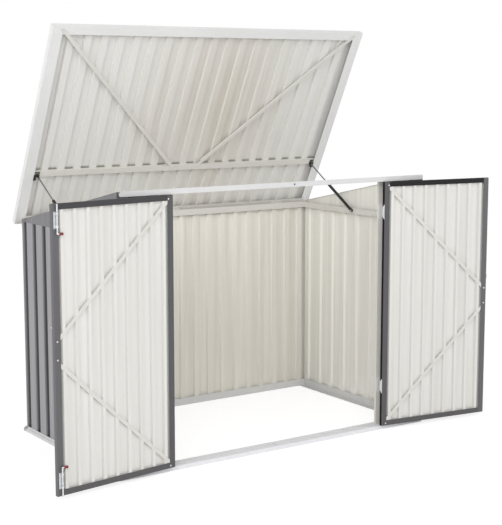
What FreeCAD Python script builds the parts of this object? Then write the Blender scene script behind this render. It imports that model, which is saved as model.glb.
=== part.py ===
import FreeCAD, Part
import os
import re

import Sketcher

# Bike shed: a low sheet-steel store with two hinged front doors and a lid hinged at the back, held up by
# two gas struts. Frame: X across the front, Y from front to back, Z up, origin on the ground at the middle
# of the base. It is drawn as photographed, with both doors folded back and the lid up. Millimetres and degrees.

# Driving dimensions
SIZES = {
    # Overall
    "base_width": 2000,
    "base_depth": 1135,
    "side_height": 1203,
    "front_rise": 242,
    "back_rise": 2,
    # Sheet thicknesses and small clearances
    "frame_gauge": 1.2,
    "sheet_gauge": 0.5,
    "fit_gap": 0.3,
    "seat_gap": 1.0,
    "lid_seat_gap": 3.0,
    "cut_over": 1.0,
    # Front sill
    "sill_depth": 85,
    "sill_height": 22,
    "sill_land": 24,
    "sill_groove": 10,
    "sill_ridge": 16,
    "groove_depth": 8,
    # Base rails that take the foot of the walls
    "rail_height": 44,
    "rail_foot": 16,
    "rail_shoulder": 20,
    "rail_lip_height": 28,
    "rail_play": 1.3,
    "rail_flange": 36,
    "anchor_hole_radius": 5,
    "anchor_spacing": 760,
    # Ribbed walls
    "wall_inset": 15,
    "wall_rib_pitch": 121,
    "wall_rib_depth": 14,
    "wall_rib_land": 30,
    "side_rib_land": 38,
    "side_rib_tail": 34,
    "rib_run": 6,
    "panel_rib_pitch": 97.5,
    "lid_rib_pitch": 99,
    # Rails along the top of the walls
    "side_rail_height": 33,
    "side_rail_width": 20,
    "back_rail_height": 35,
    "back_rail_width": 34.5,
    "back_rail_proud": 7,
    # Front corner posts, back corner angles and gables
    "corner_width": 46,
    "corner_leg": 30,
    "angle_leg": 25,
    "angle_side_leg": 7,
    "gable_lap": 6,
    "gable_flange": 12,
    # Header over the doors
    "header_height": 27,
    "header_depth": 50,
    "door_stop_width": 45,
    "door_stop_drop": 8,
    "left_stop_place": -80,
    "right_stop_place": 36,
    # Door posts with the rebate that the doors close into
    "post_clear": 2.5,
    "post_lap": 40,
    "rebate_width": 32,
    "rebate_depth": 40,
    "reveal_depth": 12,
    # Doors
    "door_axis_spacing": 1401,
    "door_axis_setback": 9.5,
    "door_edge_lap": 13,
    "door_meeting_gap": 8,
    "door_open_angle": 172.3,
    "door_thickness": 20,
    "door_clearance": 2,
    "stile_width": 33,
    "door_head_rail": 27,
    "door_foot_rail": 29,
    "door_rib_pitch": 75,
    "door_rib_depth": 11,
    "door_rib_land": 16,
    "door_brace_width": 19,
    "brace_corner": 24,
    "brace_end": 12,
    "brace_spread": 48,
    # Hinges of doors and lid
    "hinge_radius": 3.5,
    "hinge_pin_radius": 1.75,
    "hinge_clearance": 0.05,
    "hinge_leaf": 1.5,
    "hinge_height": 83,
    "hinge_low": 214,
    "hinge_high": 1207,
    "knuckle_gap": 0.5,
    "door_leaf_width": 22,
    "post_leaf_width": 50,
    "wrap_neck": 49,
    "rebate_plate_width": 28,
    # Lid
    "lid_width": 2035,
    "lid_front_reach": 1171,
    "lid_back_reach": 30,
    "lid_edge_height": 30,
    "lid_front_flange": 48,
    "lid_back_flange": 48,
    "lid_side_flange": 61,
    "lid_cap": 22,
    "lid_open_angle": 62.97,
    "lid_axis_rise": 2,
    "lid_rib_depth": 12,
    "lid_rib_land": 40,
    "lid_hinge_spacing": 760,
    "lid_fixed_leaf_width": 38,
    "lid_moving_leaf_width": 16,
    "cross_rail_place": 305,
    "cross_rail_width": 33,
    "lid_brace_width": 20,
    "lid_brace_leg": 9,
    "lid_brace_side": 55,
    "lid_brace_front": 16,
    "lid_brace_middle": 80,
    "lid_brace_lap": 12,
    # Gas struts
    "strut_inset": 64,
    "strut_wall_reach": 539.2,
    "strut_wall_drop": 11.2,
    "strut_lid_place": 276.4,
    "strut_lid_rise": 6.2,
    "strut_radius": 9,
    "strut_wall": 1.5,
    "strut_body_reach": 266,
    "strut_rod_radius": 4,
    "strut_guide": 6,
    "strut_piston": 10,
    "strut_eye_radius": 8,
    "strut_eye_width": 12,
    "strut_pin_radius": 4,
    "strut_pin_clearance": 0.05,
    "strut_shoulder_radius": 7,
    "bracket_gauge": 2.5,
    "bracket_width": 34,
    "bracket_height": 36,
    "bracket_leg": 14,
    # Tower bolts on the left door
    "bolt_place": 687,
    "bolt_radius": 4,
    "bolt_standoff": 8,
    "bolt_length": 140,
    "bolt_handle": 30,
    "bolt_plate": 1.5,
    "bolt_plate_width": 24,
    "bolt_plate_height": 80,
    "bolt_plate_margin": 36,
    "bolt_plate_edge": 2,
    "bolt_guide_radius": 6.5,
    "bolt_guide_height": 10,
    "bolt_guide_margin": 4,
    "bolt_running_gap": 0.1,
    "bolt_hole_radius": 6,
    "sleeve_radius": 6.5,
    "sleeve_length": 20,
    # Padlock hasp
    "hasp_height": 834,
    "hasp_width": 28,
    "hasp_length": 46,
    "hasp_reach": 22,
    "hasp_gauge": 2,
    "hasp_stud_radius": 2.5,
    "hasp_stud_length": 16,
    "hasp_hole_radius": 4.5,
    "hasp_hole_reach": 14,
}

# Places that follow from the driving dimensions
LAYOUT = {
    "half_width": "base_width / 2",
    "half_depth": "base_depth / 2",
    "front_height": "side_height + front_rise",
    "back_height": "side_height + back_rise",
    "wall_face": "half_width - wall_inset",
    "back_face": "half_depth - wall_inset",
    "rail_lip": "wall_inset - fit_gap - frame_gauge",
    "rail_inner": "wall_inset + wall_rib_depth + rail_play + frame_gauge",
    "header_bottom": "front_height - header_height",
    "post_face": "door_axis_setback + hinge_radius - fit_gap",
    "front_plane": "post_face + frame_gauge",
    "corner_edge": "wall_inset - sheet_gauge",
    "corner_web": "wall_inset + sheet_gauge + fit_gap",
    "header_end": "half_width - corner_edge - gable_flange - fit_gap",
    "back_rail_face": "back_face + back_rail_proud",
    "lid_axis_y": "back_rail_face + hinge_radius",
    "lid_axis_z": "back_height + lid_axis_rise",
    "lid_rise": "front_height + lid_seat_gap - lid_axis_z - hinge_radius",
    "lid_slope": "atan2(lid_rise; lid_axis_y + half_depth)",
    "lid_fall": "tan(lid_slope)",
    "post_top": "front_height - front_plane * lid_fall - lid_seat_gap",
    "side_span": "base_depth - front_plane - fit_gap - wall_inset",
    "side_start": "back_face - side_span",
    "side_rib_room": "side_span - side_rib_tail - side_rib_land / 2 - rib_run",
    "side_rib_count": "floor(side_rib_room / wall_rib_pitch) + 1",
    "side_rib_lead": "side_span - side_rib_tail - (side_rib_count - 1) * wall_rib_pitch",
    "back_span": "2 * (wall_face - sheet_gauge - fit_gap)",
    "back_rib_count": "floor(back_span / panel_rib_pitch)",
    "back_rib_lead": "(back_span - (back_rib_count - 1) * panel_rib_pitch) / 2",
    "door_axis_x": "door_axis_spacing / 2",
    "door_axis_y": "door_axis_setback - half_depth",
    "door_width": "door_axis_x + door_edge_lap - door_meeting_gap / 2",
    "door_bottom": "sill_height + door_clearance",
    "door_top": "header_bottom - door_clearance",
    "door_middle": "(door_bottom + door_top) / 2",
    "door_outer": "hinge_radius + fit_gap",
    "door_inner": "door_outer + door_thickness",
    "door_span": "door_width - 2 * (frame_gauge + fit_gap)",
    "door_rib_count": "floor(door_span / door_rib_pitch)",
    "door_rib_lead": "(door_span - (door_rib_count - 1) * door_rib_pitch) / 2",
    "door_panel_face": "door_inner - 2 * frame_gauge - door_rib_depth",
    "post_web": "door_axis_x + door_edge_lap + post_clear",
    "post_reveal": "post_web - rebate_width",
    "stop_setback": "door_axis_setback + door_inner + seat_gap",
    "front_panel_inner": "post_web + frame_gauge + fit_gap",
    "front_panel_outer": "half_width - corner_web - frame_gauge - fit_gap",
    "front_span": "front_panel_outer - front_panel_inner",
    "front_rib_count": "floor(front_span / panel_rib_pitch)",
    "front_rib_lead": "(front_span - (front_rib_count - 1) * panel_rib_pitch) / 2",
    "lid_half": "lid_width / 2",
    "lid_under": "hinge_radius",
    "lid_panel_face": "lid_under + lid_edge_height - frame_gauge",
    "lid_panel_under": "lid_panel_face - lid_rib_depth",
    "lid_span": "lid_width - 2 * (frame_gauge + fit_gap)",
    "lid_rib_count": "floor((lid_span - 2 * lid_side_flange) / lid_rib_pitch)",
    "lid_rib_lead": "(lid_span - (lid_rib_count - 1) * lid_rib_pitch) / 2",
    "strut_x": "half_width - strut_inset",
    "strut_wall_y": "lid_axis_y - strut_wall_reach",
    "strut_wall_height": "side_height - strut_wall_drop",
    "strut_lid_y": "lid_axis_y - strut_lid_place * cos(lid_open_angle) + strut_lid_rise * sin(lid_open_angle)",
    "strut_lid_z": "lid_axis_z + strut_lid_place * sin(lid_open_angle) + strut_lid_rise * cos(lid_open_angle)",
    "strut_run": "strut_lid_y - strut_wall_y",
    "strut_lift": "strut_lid_z - strut_wall_height",
    "strut_length": "sqrt(strut_run ^ 2 + strut_lift ^ 2)",
    "strut_angle": "atan2(strut_lift; strut_run)",
    "top_rail_face": "half_width - wall_inset - wall_rib_depth - fit_gap - side_rail_width",
    "bolt_y": "door_inner + bolt_standoff",
    "bolt_x": "bolt_place - door_edge_lap",
    "bolt_socket_x": "bolt_x - door_axis_x",
    "bolt_socket_y": "door_axis_y + bolt_y",
    "top_plate_low": "door_top - bolt_plate_margin - bolt_plate_height",
    "low_plate_low": "door_bottom + bolt_plate_margin",
}

ALIAS = re.compile(r"[a-z]+(?:_[a-z0-9]+)+")
LEFT, RIGHT = -1, 1
SIDE_NAMES = {LEFT: "left", RIGHT: "right"}

doc = FreeCAD.newDocument("bike_shed")


def bind(text):
    """Write a formula of named sizes as one that the sheets can answer."""
    return ALIAS.sub(lambda word: ("Layout." if word[0] in LAYOUT else "Size.") + word[0], str(text))


def fill_sheet(name, cells):
    """Make a sheet with one named cell for each entry."""
    sheet = doc.addObject("Spreadsheet::Sheet", name)
    for row, (alias, content) in enumerate(cells.items(), 1):
        sheet.set(f"A{row}", alias)
        sheet.set(f"B{row}", content)
        sheet.setAlias(f"B{row}", alias)
    doc.recompute()
    return sheet


fill_sheet("Size", {alias: str(number) for alias, number in SIZES.items()})
layout_sheet = fill_sheet("Layout", {alias: "=" + bind(formula) for alias, formula in LAYOUT.items()})


def number(text):
    """Value of a formula of named sizes."""
    answer = layout_sheet.evalExpression(bind(text))
    return float(getattr(answer, "Value", answer))


# Frames that whole sub-assemblies share: turning axis, angle and place
SHED = None
LID = ((1, 0, 0), "-lid_open_angle", ("0", "lid_axis_y", "lid_axis_z"))
DOOR = {
    side: ((0, 0, 1), f"{side} * door_open_angle", (f"{side} * door_axis_x", "door_axis_y", "0"))
    for side in (LEFT, RIGHT)
}
STRUT = {
    side: ((1, 0, 0), "strut_angle", (f"{side} * strut_x", "strut_wall_y", "strut_wall_height"))
    for side in (LEFT, RIGHT)
}


def place(thing, frame):
    """Put an object in a shared frame, tied to the sheets."""
    if frame is None:
        return
    axis, angle, base = frame
    thing.Placement = FreeCAD.Placement(FreeCAD.Vector(), FreeCAD.Rotation(FreeCAD.Vector(*axis), number(angle)))
    thing.setExpression("Placement.Rotation.Angle", bind(angle))
    for letter, formula in zip("xyz", base):
        thing.setExpression(f"Placement.Base.{letter}", bind(formula))


def new_body(label, frame=SHED):
    """An empty body in one of the shared frames."""
    body = doc.addObject("PartDesign::Body", label)
    place(body, frame)
    return body


def new_sketch(body, plane, at):
    """A sketch on one of the body's own planes, at a distance along that plane's axis."""
    sketch = body.newObject("Sketcher::SketchObject", body.Name + "_sketch")
    origin_plane = next(item for item in body.Origin.OriginFeatures if item.Role == plane)
    sketch.AttachmentSupport = [(origin_plane, "")]
    sketch.MapMode = "FlatFace"
    direction = "-" if plane == "XZ_Plane" else ""
    sketch.setExpression("AttachmentOffset.Base.z", bind(f"{direction}({at})"))
    return sketch


def draw_outline(sketch, points):
    """A closed outline whose corners are formulas of named sizes."""
    corners = [FreeCAD.Vector(number(across), number(along), 0) for across, along in points]
    count = len(corners)
    sketch.addGeometry([Part.LineSegment(corners[i], corners[(i + 1) % count]) for i in range(count)])
    rules = [Sketcher.Constraint("Coincident", i, 2, (i + 1) % count, 1) for i in range(count)]
    for i, corner in enumerate(corners):
        rules.append(Sketcher.Constraint("DistanceX", -1, 1, i, 1, corner.x))
        rules.append(Sketcher.Constraint("DistanceY", -1, 1, i, 1, corner.y))
    sketch.addConstraint(rules)
    for i, (across, along) in enumerate(points):
        sketch.setExpression(f"Constraints[{count + 2 * i}]", bind(across))
        sketch.setExpression(f"Constraints[{count + 2 * i + 1}]", bind(along))


def draw_circle(sketch, centre, radius):
    """A circle whose centre and radius are formulas of named sizes."""
    middle = FreeCAD.Vector(number(centre[0]), number(centre[1]), 0)
    sketch.addGeometry(Part.Circle(middle, FreeCAD.Vector(0, 0, 1), number(radius)))
    sketch.addConstraint([
        Sketcher.Constraint("DistanceX", -1, 1, 0, 3, middle.x),
        Sketcher.Constraint("DistanceY", -1, 1, 0, 3, middle.y),
        Sketcher.Constraint("Radius", 0, number(radius)),
    ])
    for i, formula in enumerate((*centre, radius)):
        sketch.setExpression(f"Constraints[{i}]", bind(formula))


def draw(sketch, shape):
    """Draw an outline, given as corners, or a circle, given as its centre and radius."""
    if isinstance(shape, dict):
        draw_circle(sketch, shape["centre"], shape["radius"])
    else:
        draw_outline(sketch, shape)


def extrude(body, plane, shape, start, end):
    """Add a prism of a drawn shape from start to end along the plane's axis."""
    sketch = new_sketch(body, plane, start)
    draw(sketch, shape)
    pad = body.newObject("PartDesign::Pad", body.Name + "_pad")
    pad.Profile = sketch
    pad.Reversed = plane == "XZ_Plane"
    pad.setExpression("Length", bind(f"({end}) - ({start})"))
    body.Tip = pad
    return pad


def carve(body, plane, shape, start, end):
    """Cut a prism of a drawn shape from start to end along the plane's axis, and test that it cut."""
    doc.recompute()
    before = body.Shape.Volume
    sketch = new_sketch(body, plane, start)
    draw(sketch, shape)
    pocket = body.newObject("PartDesign::Pocket", body.Name + "_pocket")
    pocket.Profile = sketch
    pocket.Reversed = plane != "XZ_Plane"
    pocket.setExpression("Length", bind(f"({end}) - ({start})"))
    body.Tip = pocket
    doc.recompute()
    if body.Shape.Volume >= before:
        raise RuntimeError(f"a cut in {body.Label} took nothing away")


def box_outline(across, along):
    """Corners of a rectangle between two pairs of formulas."""
    return [(across[0], along[0]), (across[1], along[0]), (across[1], along[1]), (across[0], along[1])]


def folded(path, gauge, turn):
    """Outline of a folded strip: a path of folds, thickened to its left (turn 1) or right (turn -1)."""
    spots = [FreeCAD.Vector(number(across), number(along), 0) for across, along in path]
    steps = [(end - start).normalize() for start, end in zip(spots, spots[1:])]
    normals = [FreeCAD.Vector(-step.y, step.x, 0) * turn for step in steps]
    normals = [normals[0]] + normals + [normals[-1]]
    inner = []
    for (across, along), before, after in zip(path, normals, normals[1:]):
        reach = (before + after) / (1 + before.dot(after))
        inner.append((f"{across} + {reach.x:.6f} * {gauge}", f"{along} + {reach.y:.6f} * {gauge}"))
    return list(path) + inner[::-1]


def mirrored_span(side, low, high):
    """The span from low to high on the right, or its mirror image on the left."""
    return (low, high) if side == RIGHT else (f"-({high})", f"-({low})")


def ribbed_sheet(body, plane, spot, turn, name, pitch, rib, ends):
    """A ribbed sheet: a bay from rib to rib, its row of copies and an edge strip at each side.

    spot turns a place along the sheet and a depth behind its face into sketch formulas, name begins the
    names of the sheet's span, rib count and first rib, and rib holds the depth and width of a rib.
    """
    span, count, lead = f"{name}_span", f"{name}_rib_count", f"{name}_rib_lead"
    depth, land = rib
    rib_back = f"({depth} - sheet_gauge)"

    def half_rib(middle, way):
        """Folds from the middle of a rib to the flat beside it."""
        return [
            (middle, rib_back),
            (f"{middle} + {way} * {land} / 2", rib_back),
            (f"{middle} + {way} * ({land} / 2 + rib_run)", "0"),
        ]

    def strip(steps):
        return extrude(body, plane, folded([spot(*step) for step in steps], "sheet_gauge", turn), *ends)

    last = f"{lead} + ({count} - 1) * {pitch}"
    bay = strip(half_rib(lead, 1) + half_rib(f"{lead} + {pitch}", -1)[::-1])
    row = body.newObject("PartDesign::LinearPattern", body.Name + "_ribs")
    row.Originals = [bay]
    along_side = plane == "XY_Plane" and number(spot("0", "0")[1]) != number(spot("1", "0")[1])
    row.Direction = (bay.Profile[0], ["V_Axis" if along_side else "H_Axis"])
    row.setExpression("Length", bind(f"{pitch} * ({count} - 2)"))
    row.setExpression("Occurrences", bind(f"{count} - 1"))
    body.Tip = row
    strip([("0", "0")] + half_rib(lead, -1)[::-1])
    strip(half_rib(last, 1) + [(span, "0")])


def group(label, members):
    """One node that holds several like pieces, each its own solid."""
    bundle = doc.addObject("Part::Compound", label)
    bundle.Links = members
    return bundle


def cylinder(label, radius, length, axis, base):
    """A round bar of the given radius and length along an axis from a base point."""
    bar = doc.addObject("Part::Cylinder", label)
    bar.setExpression("Radius", bind(radius))
    bar.setExpression("Height", bind(length))
    turn = FreeCAD.Rotation(FreeCAD.Vector(0, 0, 1), FreeCAD.Vector(*axis))
    bar.Placement = FreeCAD.Placement(FreeCAD.Vector(), turn)
    for letter, formula in zip("xyz", base):
        bar.setExpression(f"Placement.Base.{letter}", bind(formula))
    return bar


# Base frame
def front_sill():
    """Threshold under the doors: a grooved channel, open below, with the socket of the lower bolt."""
    body = new_body("base_front_sill")
    low = "sill_height - groove_depth"
    second = "sill_land + sill_groove + sill_ridge"
    folds = [
        ("0", "0"), ("0", "sill_height"), ("sill_land", "sill_height"), ("sill_land", low),
        ("sill_land + sill_groove", low), ("sill_land + sill_groove", "sill_height"),
        (second, "sill_height"), (second, low), (f"{second} + sill_groove", low),
        (f"{second} + sill_groove", "sill_height"), ("sill_depth", "sill_height"), ("sill_depth", "0"),
    ]
    path = [(f"{back} - half_depth", up) for back, up in folds]
    extrude(body, "YZ_Plane", folded(path, "frame_gauge", -1), "-half_width", "half_width")
    socket = {"centre": ("bolt_socket_x", "bolt_socket_y"), "radius": "bolt_hole_radius"}
    carve(body, "XY_Plane", socket, "sill_height - 2 * frame_gauge", "sill_height + frame_gauge")
    return body


RAIL_FOLDS = [
    ("rail_lip", "rail_lip_height"), ("rail_lip", "rail_shoulder"), ("0", "rail_foot"), ("0", "0"),
    ("rail_inner", "0"), ("rail_inner", "rail_height"),
]


def back_base_rail():
    """Channel that takes the foot of the back wall, notched at both ends for the side walls."""
    body = new_body("base_back_rail")
    path = [(f"half_depth - ({inward})", up) for inward, up in RAIL_FOLDS]
    extrude(body, "YZ_Plane", folded(path, "frame_gauge", -1), "-half_width", "half_width")
    across = ("half_depth - rail_inner - fit_gap", "half_depth - rail_inner + frame_gauge + fit_gap")
    notch = box_outline(across, ("frame_gauge", "rail_height + fit_gap"))
    for side in (LEFT, RIGHT):
        carve(body, "YZ_Plane", notch, *mirrored_span(side, "half_width - rail_inner", "half_width"))
    return body


def side_base_rail(side):
    """Channel that takes the foot of a side wall, with a floor flange drilled for two ground anchors."""
    body = new_body(f"base_{SIDE_NAMES[side]}_rail")
    path = [(f"{side} * (half_width - ({inward}))", up) for inward, up in RAIL_FOLDS]
    start, end = "sill_depth - half_depth", "half_depth - rail_inner"
    extrude(body, "XZ_Plane", folded(path, "frame_gauge", -side), start, end)
    flange = mirrored_span(side, "half_width - rail_inner - rail_flange", "half_width - rail_inner")
    extrude(body, "XY_Plane", box_outline(flange, (start, end)), "0", "frame_gauge")
    hole_x = f"{side} * (half_width - rail_inner - rail_flange / 2)"
    for way in (-1, 1):
        hole = {"centre": (hole_x, f"{way} * anchor_spacing / 2"), "radius": "anchor_hole_radius"}
        carve(body, "XY_Plane", hole, "-frame_gauge", "2 * frame_gauge")
    return body


# Walls
def side_wall(side):
    """Ribbed side wall, from the sill to the side top rail."""
    body = new_body(f"{SIDE_NAMES[side]}_wall_panel")
    ribbed_sheet(
        body, "XY_Plane", lambda along, deep: (f"{side} * (wall_face - {deep})", f"side_start + {along}"), side,
        "side", "wall_rib_pitch", ("wall_rib_depth", "side_rib_land"), ("sill_height", "side_height"),
    )
    return body


def back_wall():
    """Ribbed back wall, up into the back top rail."""
    body = new_body("back_wall_panel")
    ribbed_sheet(
        body, "XY_Plane", lambda along, deep: (f"{along} - back_span / 2", f"back_face - {deep}"), -1,
        "back", "panel_rib_pitch", ("wall_rib_depth", "wall_rib_land"),
        ("sill_height", "back_height - frame_gauge"),
    )
    return body


def front_panel(side):
    """Ribbed fixed panel between a door post and the corner."""
    body = new_body(f"front_{SIDE_NAMES[side]}_panel")
    start_x = mirrored_span(side, "front_panel_inner", "front_panel_outer")[0]
    ribbed_sheet(
        body, "XY_Plane", lambda along, deep: (f"{start_x} + {along}", f"front_plane - half_depth + {deep}"), 1,
        "front", "panel_rib_pitch", ("wall_rib_depth", "wall_rib_land"), ("sill_height", "header_bottom"),
    )
    return body


def front_corner_post(side):
    """Corner post: a front face that covers the wall edges, a leg along the wall and a narrow top end."""
    body = new_body(f"front_{SIDE_NAMES[side]}_post")
    face = ("post_face - half_depth", "front_plane - half_depth")
    leg = ("front_plane - half_depth", "front_plane + corner_leg - half_depth")
    plates = (
        (("corner_edge + corner_width", "corner_edge"), face, "sill_height", "header_bottom"),
        (("corner_web + frame_gauge", "corner_web"), leg, "sill_height", "header_bottom"),
        (("corner_edge + gable_flange", "corner_edge"), face, "header_bottom", "post_top"),
    )
    for inward, along, low, high in plates:
        across = [f"{side} * (half_width - ({place_in}))" for place_in in inward]
        extrude(body, "XY_Plane", box_outline(across, along), low, high)
    return body


def back_corner_angle(side):
    """Angle inside a back corner that ties the side wall to the back wall."""
    body = new_body(f"back_{SIDE_NAMES[side]}_angle")
    corner_x, corner_y = "(wall_face - sheet_gauge)", "(back_face - sheet_gauge)"
    path = [
        (f"{side} * {corner_x}", f"{corner_y} - angle_side_leg"),
        (f"{side} * {corner_x}", corner_y),
        (f"{side} * ({corner_x} - angle_leg)", corner_y),
    ]
    extrude(body, "XY_Plane", folded(path, "frame_gauge", side), "frame_gauge", "side_height")
    return body


def door_post(side):
    """Folded door post: a front face for the hinges, a rebate that the door closes into and a reveal."""
    body = new_body(f"{SIDE_NAMES[side]}_door_post")
    folds = [
        ("post_web + post_lap", "post_face"), ("post_web", "post_face"), ("post_web", "rebate_depth"),
        ("post_reveal", "rebate_depth"), ("post_reveal", "rebate_depth + reveal_depth"),
    ]
    path = [(f"{side} * ({out})", f"{back} - half_depth") for out, back in folds]
    extrude(body, "XY_Plane", folded(path, "frame_gauge", -side), "sill_height", "header_bottom")
    return body


def header():
    """Channel over the doors, its top sloped as the lid lies, with two door stops and the upper bolt's socket."""
    body = new_body("header_rail")
    path = [
        ("header_depth - half_depth", "header_bottom"), ("-half_depth", "header_bottom"),
        ("-half_depth", "front_height"), ("header_depth - half_depth", "front_height - header_depth * lid_fall"),
    ]
    extrude(body, "YZ_Plane", folded(path, "frame_gauge", -1), "-header_end", "header_end")
    back = ("stop_setback - half_depth", "stop_setback + frame_gauge - half_depth")
    stop = box_outline(back, ("header_bottom - door_stop_drop", "header_bottom"))
    for middle in ("left_stop_place", "right_stop_place"):
        extrude(body, "YZ_Plane", stop, f"{middle} - door_stop_width / 2", f"{middle} + door_stop_width / 2")
    socket = {"centre": ("bolt_socket_x", "bolt_socket_y"), "radius": "bolt_hole_radius"}
    carve(body, "XY_Plane", socket, "header_bottom - frame_gauge", "header_bottom + 2 * frame_gauge")
    return body


def back_top_rail():
    """Upturned channel over the back wall that carries the lid hinges, notched for the last side ribs."""
    body = new_body("back_top_rail")
    inner, low = "back_rail_face - back_rail_width", "back_height - back_rail_height"
    path = [(inner, low), (inner, "back_height"), ("back_rail_face", "back_height"), ("back_rail_face", low)]
    extrude(body, "YZ_Plane", folded(path, "frame_gauge", -1), "-back_span / 2", "back_span / 2")
    across = (f"{inner} - cut_over", f"{inner} + frame_gauge + fit_gap")
    notch = box_outline(across, (f"{low} - cut_over", "side_height + fit_gap"))
    for side in (LEFT, RIGHT):
        carve(body, "YZ_Plane", notch, *mirrored_span(side, "wall_face - wall_rib_depth - fit_gap", "wall_face"))
    return body


def side_top_rail(side):
    """Channel along the top of a side wall that carries the strut bracket."""
    body = new_body(f"{SIDE_NAMES[side]}_top_rail")
    low = "side_height - side_rail_height"
    near, far = "top_rail_face + side_rail_width", "top_rail_face"
    folds = [(near, low), (far, low), (far, "side_height"), (near, "side_height")]
    path = [(f"{side} * ({out})", up) for out, up in folds]
    start = "front_plane + wall_rib_depth + fit_gap - half_depth"
    end = "back_rail_face - back_rail_width - fit_gap"
    extrude(body, "XZ_Plane", folded(path, "frame_gauge", -side), start, end)
    return body


def gable(side):
    """Plain sheet that closes the slope above a side wall, with its top edge turned in."""
    body = new_body(f"{SIDE_NAMES[side]}_gable")
    low = "side_height - gable_lap"
    outer = "wall_face + sheet_gauge"
    drop = "sheet_gauge / cos(lid_slope)"
    front_top = "front_height - (side_start + half_depth) * lid_fall"
    back_top = "front_height - (back_face + half_depth) * lid_fall"
    outline = [("side_start", low), ("back_face", low), ("back_face", back_top), ("side_start", front_top)]
    extrude(body, "YZ_Plane", outline, *mirrored_span(side, f"{outer} - gable_flange", outer))
    near, far, foot = "side_start - cut_over", "back_face + cut_over", f"{low} - cut_over"
    hollow = [
        (near, foot), (far, foot),
        (far, f"{back_top} - cut_over * lid_fall - {drop}"),
        (near, f"{front_top} + cut_over * lid_fall - {drop}"),
    ]
    carve(body, "YZ_Plane", hollow, *mirrored_span(side, f"{outer} - gable_flange", "wall_face"))
    return body


# Hinges
def hinge_leaf(label, frame, spot, turn, plane, seat, width, ends, outer_knuckles):
    """A hinge leaf: a plate rolled round the pin, with the outer knuckles or the middle one.

    spot turns a place along the plate and a height over the pin axis into sketch formulas, and seat is the
    height of the face that the plate lies on.
    """
    body = new_body(label, frame)
    low, high = ends
    plate = folded([spot("0", seat), spot(width, seat)], "hinge_leaf", turn)
    extrude(body, plane, plate, low, high)
    roll = {"centre": spot("0", "0"), "radius": "hinge_radius"}
    extrude(body, plane, roll, low, high)
    third = f"(({high}) - ({low})) / 3"
    reach, free = "2 * hinge_radius", "hinge_radius + knuckle_gap"
    slot = [spot(f"-{reach}", f"-{reach}"), spot(free, f"-{reach}"), spot(free, reach), spot(f"-{reach}", reach)]
    if outer_knuckles:
        carve(body, plane, slot, f"{low} + {third} - knuckle_gap", f"{high} - {third} + knuckle_gap")
    else:
        carve(body, plane, slot, f"{low} - cut_over", f"{low} + {third}")
        carve(body, plane, slot, f"{high} - {third}", f"{high} + cut_over")
    bore = {"centre": spot("0", "0"), "radius": "hinge_pin_radius + hinge_clearance"}
    carve(body, plane, bore, f"{low} - cut_over", f"{high} + cut_over")
    return body


def stile_wrap(label, side, level):
    """Plate on the hinge edge of a door behind a hinge, wider towards the door's inner face."""
    body = new_body(label, DOOR[side])
    middle = f"{level} + hinge_height / 2"
    wing = [
        ("door_outer", f"{middle} - wrap_neck / 2"), ("door_inner", level),
        ("door_inner", f"{level} + hinge_height"), ("door_outer", f"{middle} + wrap_neck / 2"),
    ]
    extrude(body, "YZ_Plane", wing, *mirrored_span(side, "door_edge_lap", "door_edge_lap + frame_gauge"))
    return body


def rebate_plate(label, side, level):
    """Plate in the rebate of a door post, behind a hinge."""
    body = new_body(label)
    across = mirrored_span(side, "post_reveal", "post_reveal + rebate_plate_width")
    along = ("rebate_depth - frame_gauge - half_depth", "rebate_depth - half_depth")
    extrude(body, "XY_Plane", box_outline(across, along), level, f"{level} + hinge_height")
    return body


def door_hinges():
    """Door hinges: the leaves and plates on the posts, those on each door and the pins."""
    post_leaves, pins, nodes = [], [], []
    for side in (LEFT, RIGHT):
        name = SIDE_NAMES[side]
        door_leaves = []
        for level in ("hinge_low", "hinge_high"):
            ends = (level, f"{level} + hinge_height")
            label = f"{name}_{level}"

            def on_post(along, up):
                return f"{side} * (door_axis_x + ({along}))", f"door_axis_y + ({up})"

            def on_door(along, up):
                return f"-{side} * ({along})", up

            post_leaves.append(hinge_leaf(
                f"{label}_post_leaf", SHED, on_post, -side, "XY_Plane", "hinge_radius - fit_gap",
                "post_leaf_width", ends, True))
            post_leaves.append(rebate_plate(f"{label}_rebate_plate", side, level))
            door_leaves.append(hinge_leaf(
                f"{label}_door_leaf", DOOR[side], on_door, side, "XY_Plane", "door_outer",
                "door_leaf_width", ends, False))
            door_leaves.append(stile_wrap(f"{label}_wrap", side, level))
            pins.append(cylinder(
                f"{label}_pin", "hinge_pin_radius", "hinge_height", (0, 0, 1),
                (f"{side} * door_axis_x", "door_axis_y", level)))
        nodes.append(group(f"{name}_door_hinge_leaves", door_leaves))
    nodes.append(group("door_hinge_post_leaves", post_leaves))
    nodes.append(group("door_hinge_pins", pins))
    return nodes


def lid_hinges():
    """Three lid hinges: the leaves on the back rail, the leaves under the lid and the pins."""
    fixed, moving, pins = [], [], []
    for place_number in (-1, 0, 1):
        middle = f"{place_number} * lid_hinge_spacing"
        ends = (f"{middle} - hinge_height / 2", f"{middle} + hinge_height / 2")
        label = f"lid_hinge_{place_number + 2}"

        def on_rail(along, up):
            return f"lid_axis_y - ({up})", f"lid_axis_z - ({along})"

        def on_lid(along, up):
            return f"-({along})", up

        fixed.append(hinge_leaf(
            f"{label}_fixed", SHED, on_rail, 1, "YZ_Plane", "hinge_radius", "lid_fixed_leaf_width", ends, True))
        moving.append(hinge_leaf(
            f"{label}_moving", LID, on_lid, 1, "YZ_Plane", "hinge_radius", "lid_moving_leaf_width", ends, False))
        pins.append(cylinder(
            f"{label}_pin", "hinge_pin_radius", "hinge_height", (1, 0, 0), (ends[0], "lid_axis_y", "lid_axis_z")))
    return [
        group("lid_hinge_fixed_leaves", fixed),
        group("lid_hinge_moving_leaves", moving),
        group("lid_hinge_pins", pins),
    ]


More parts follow.
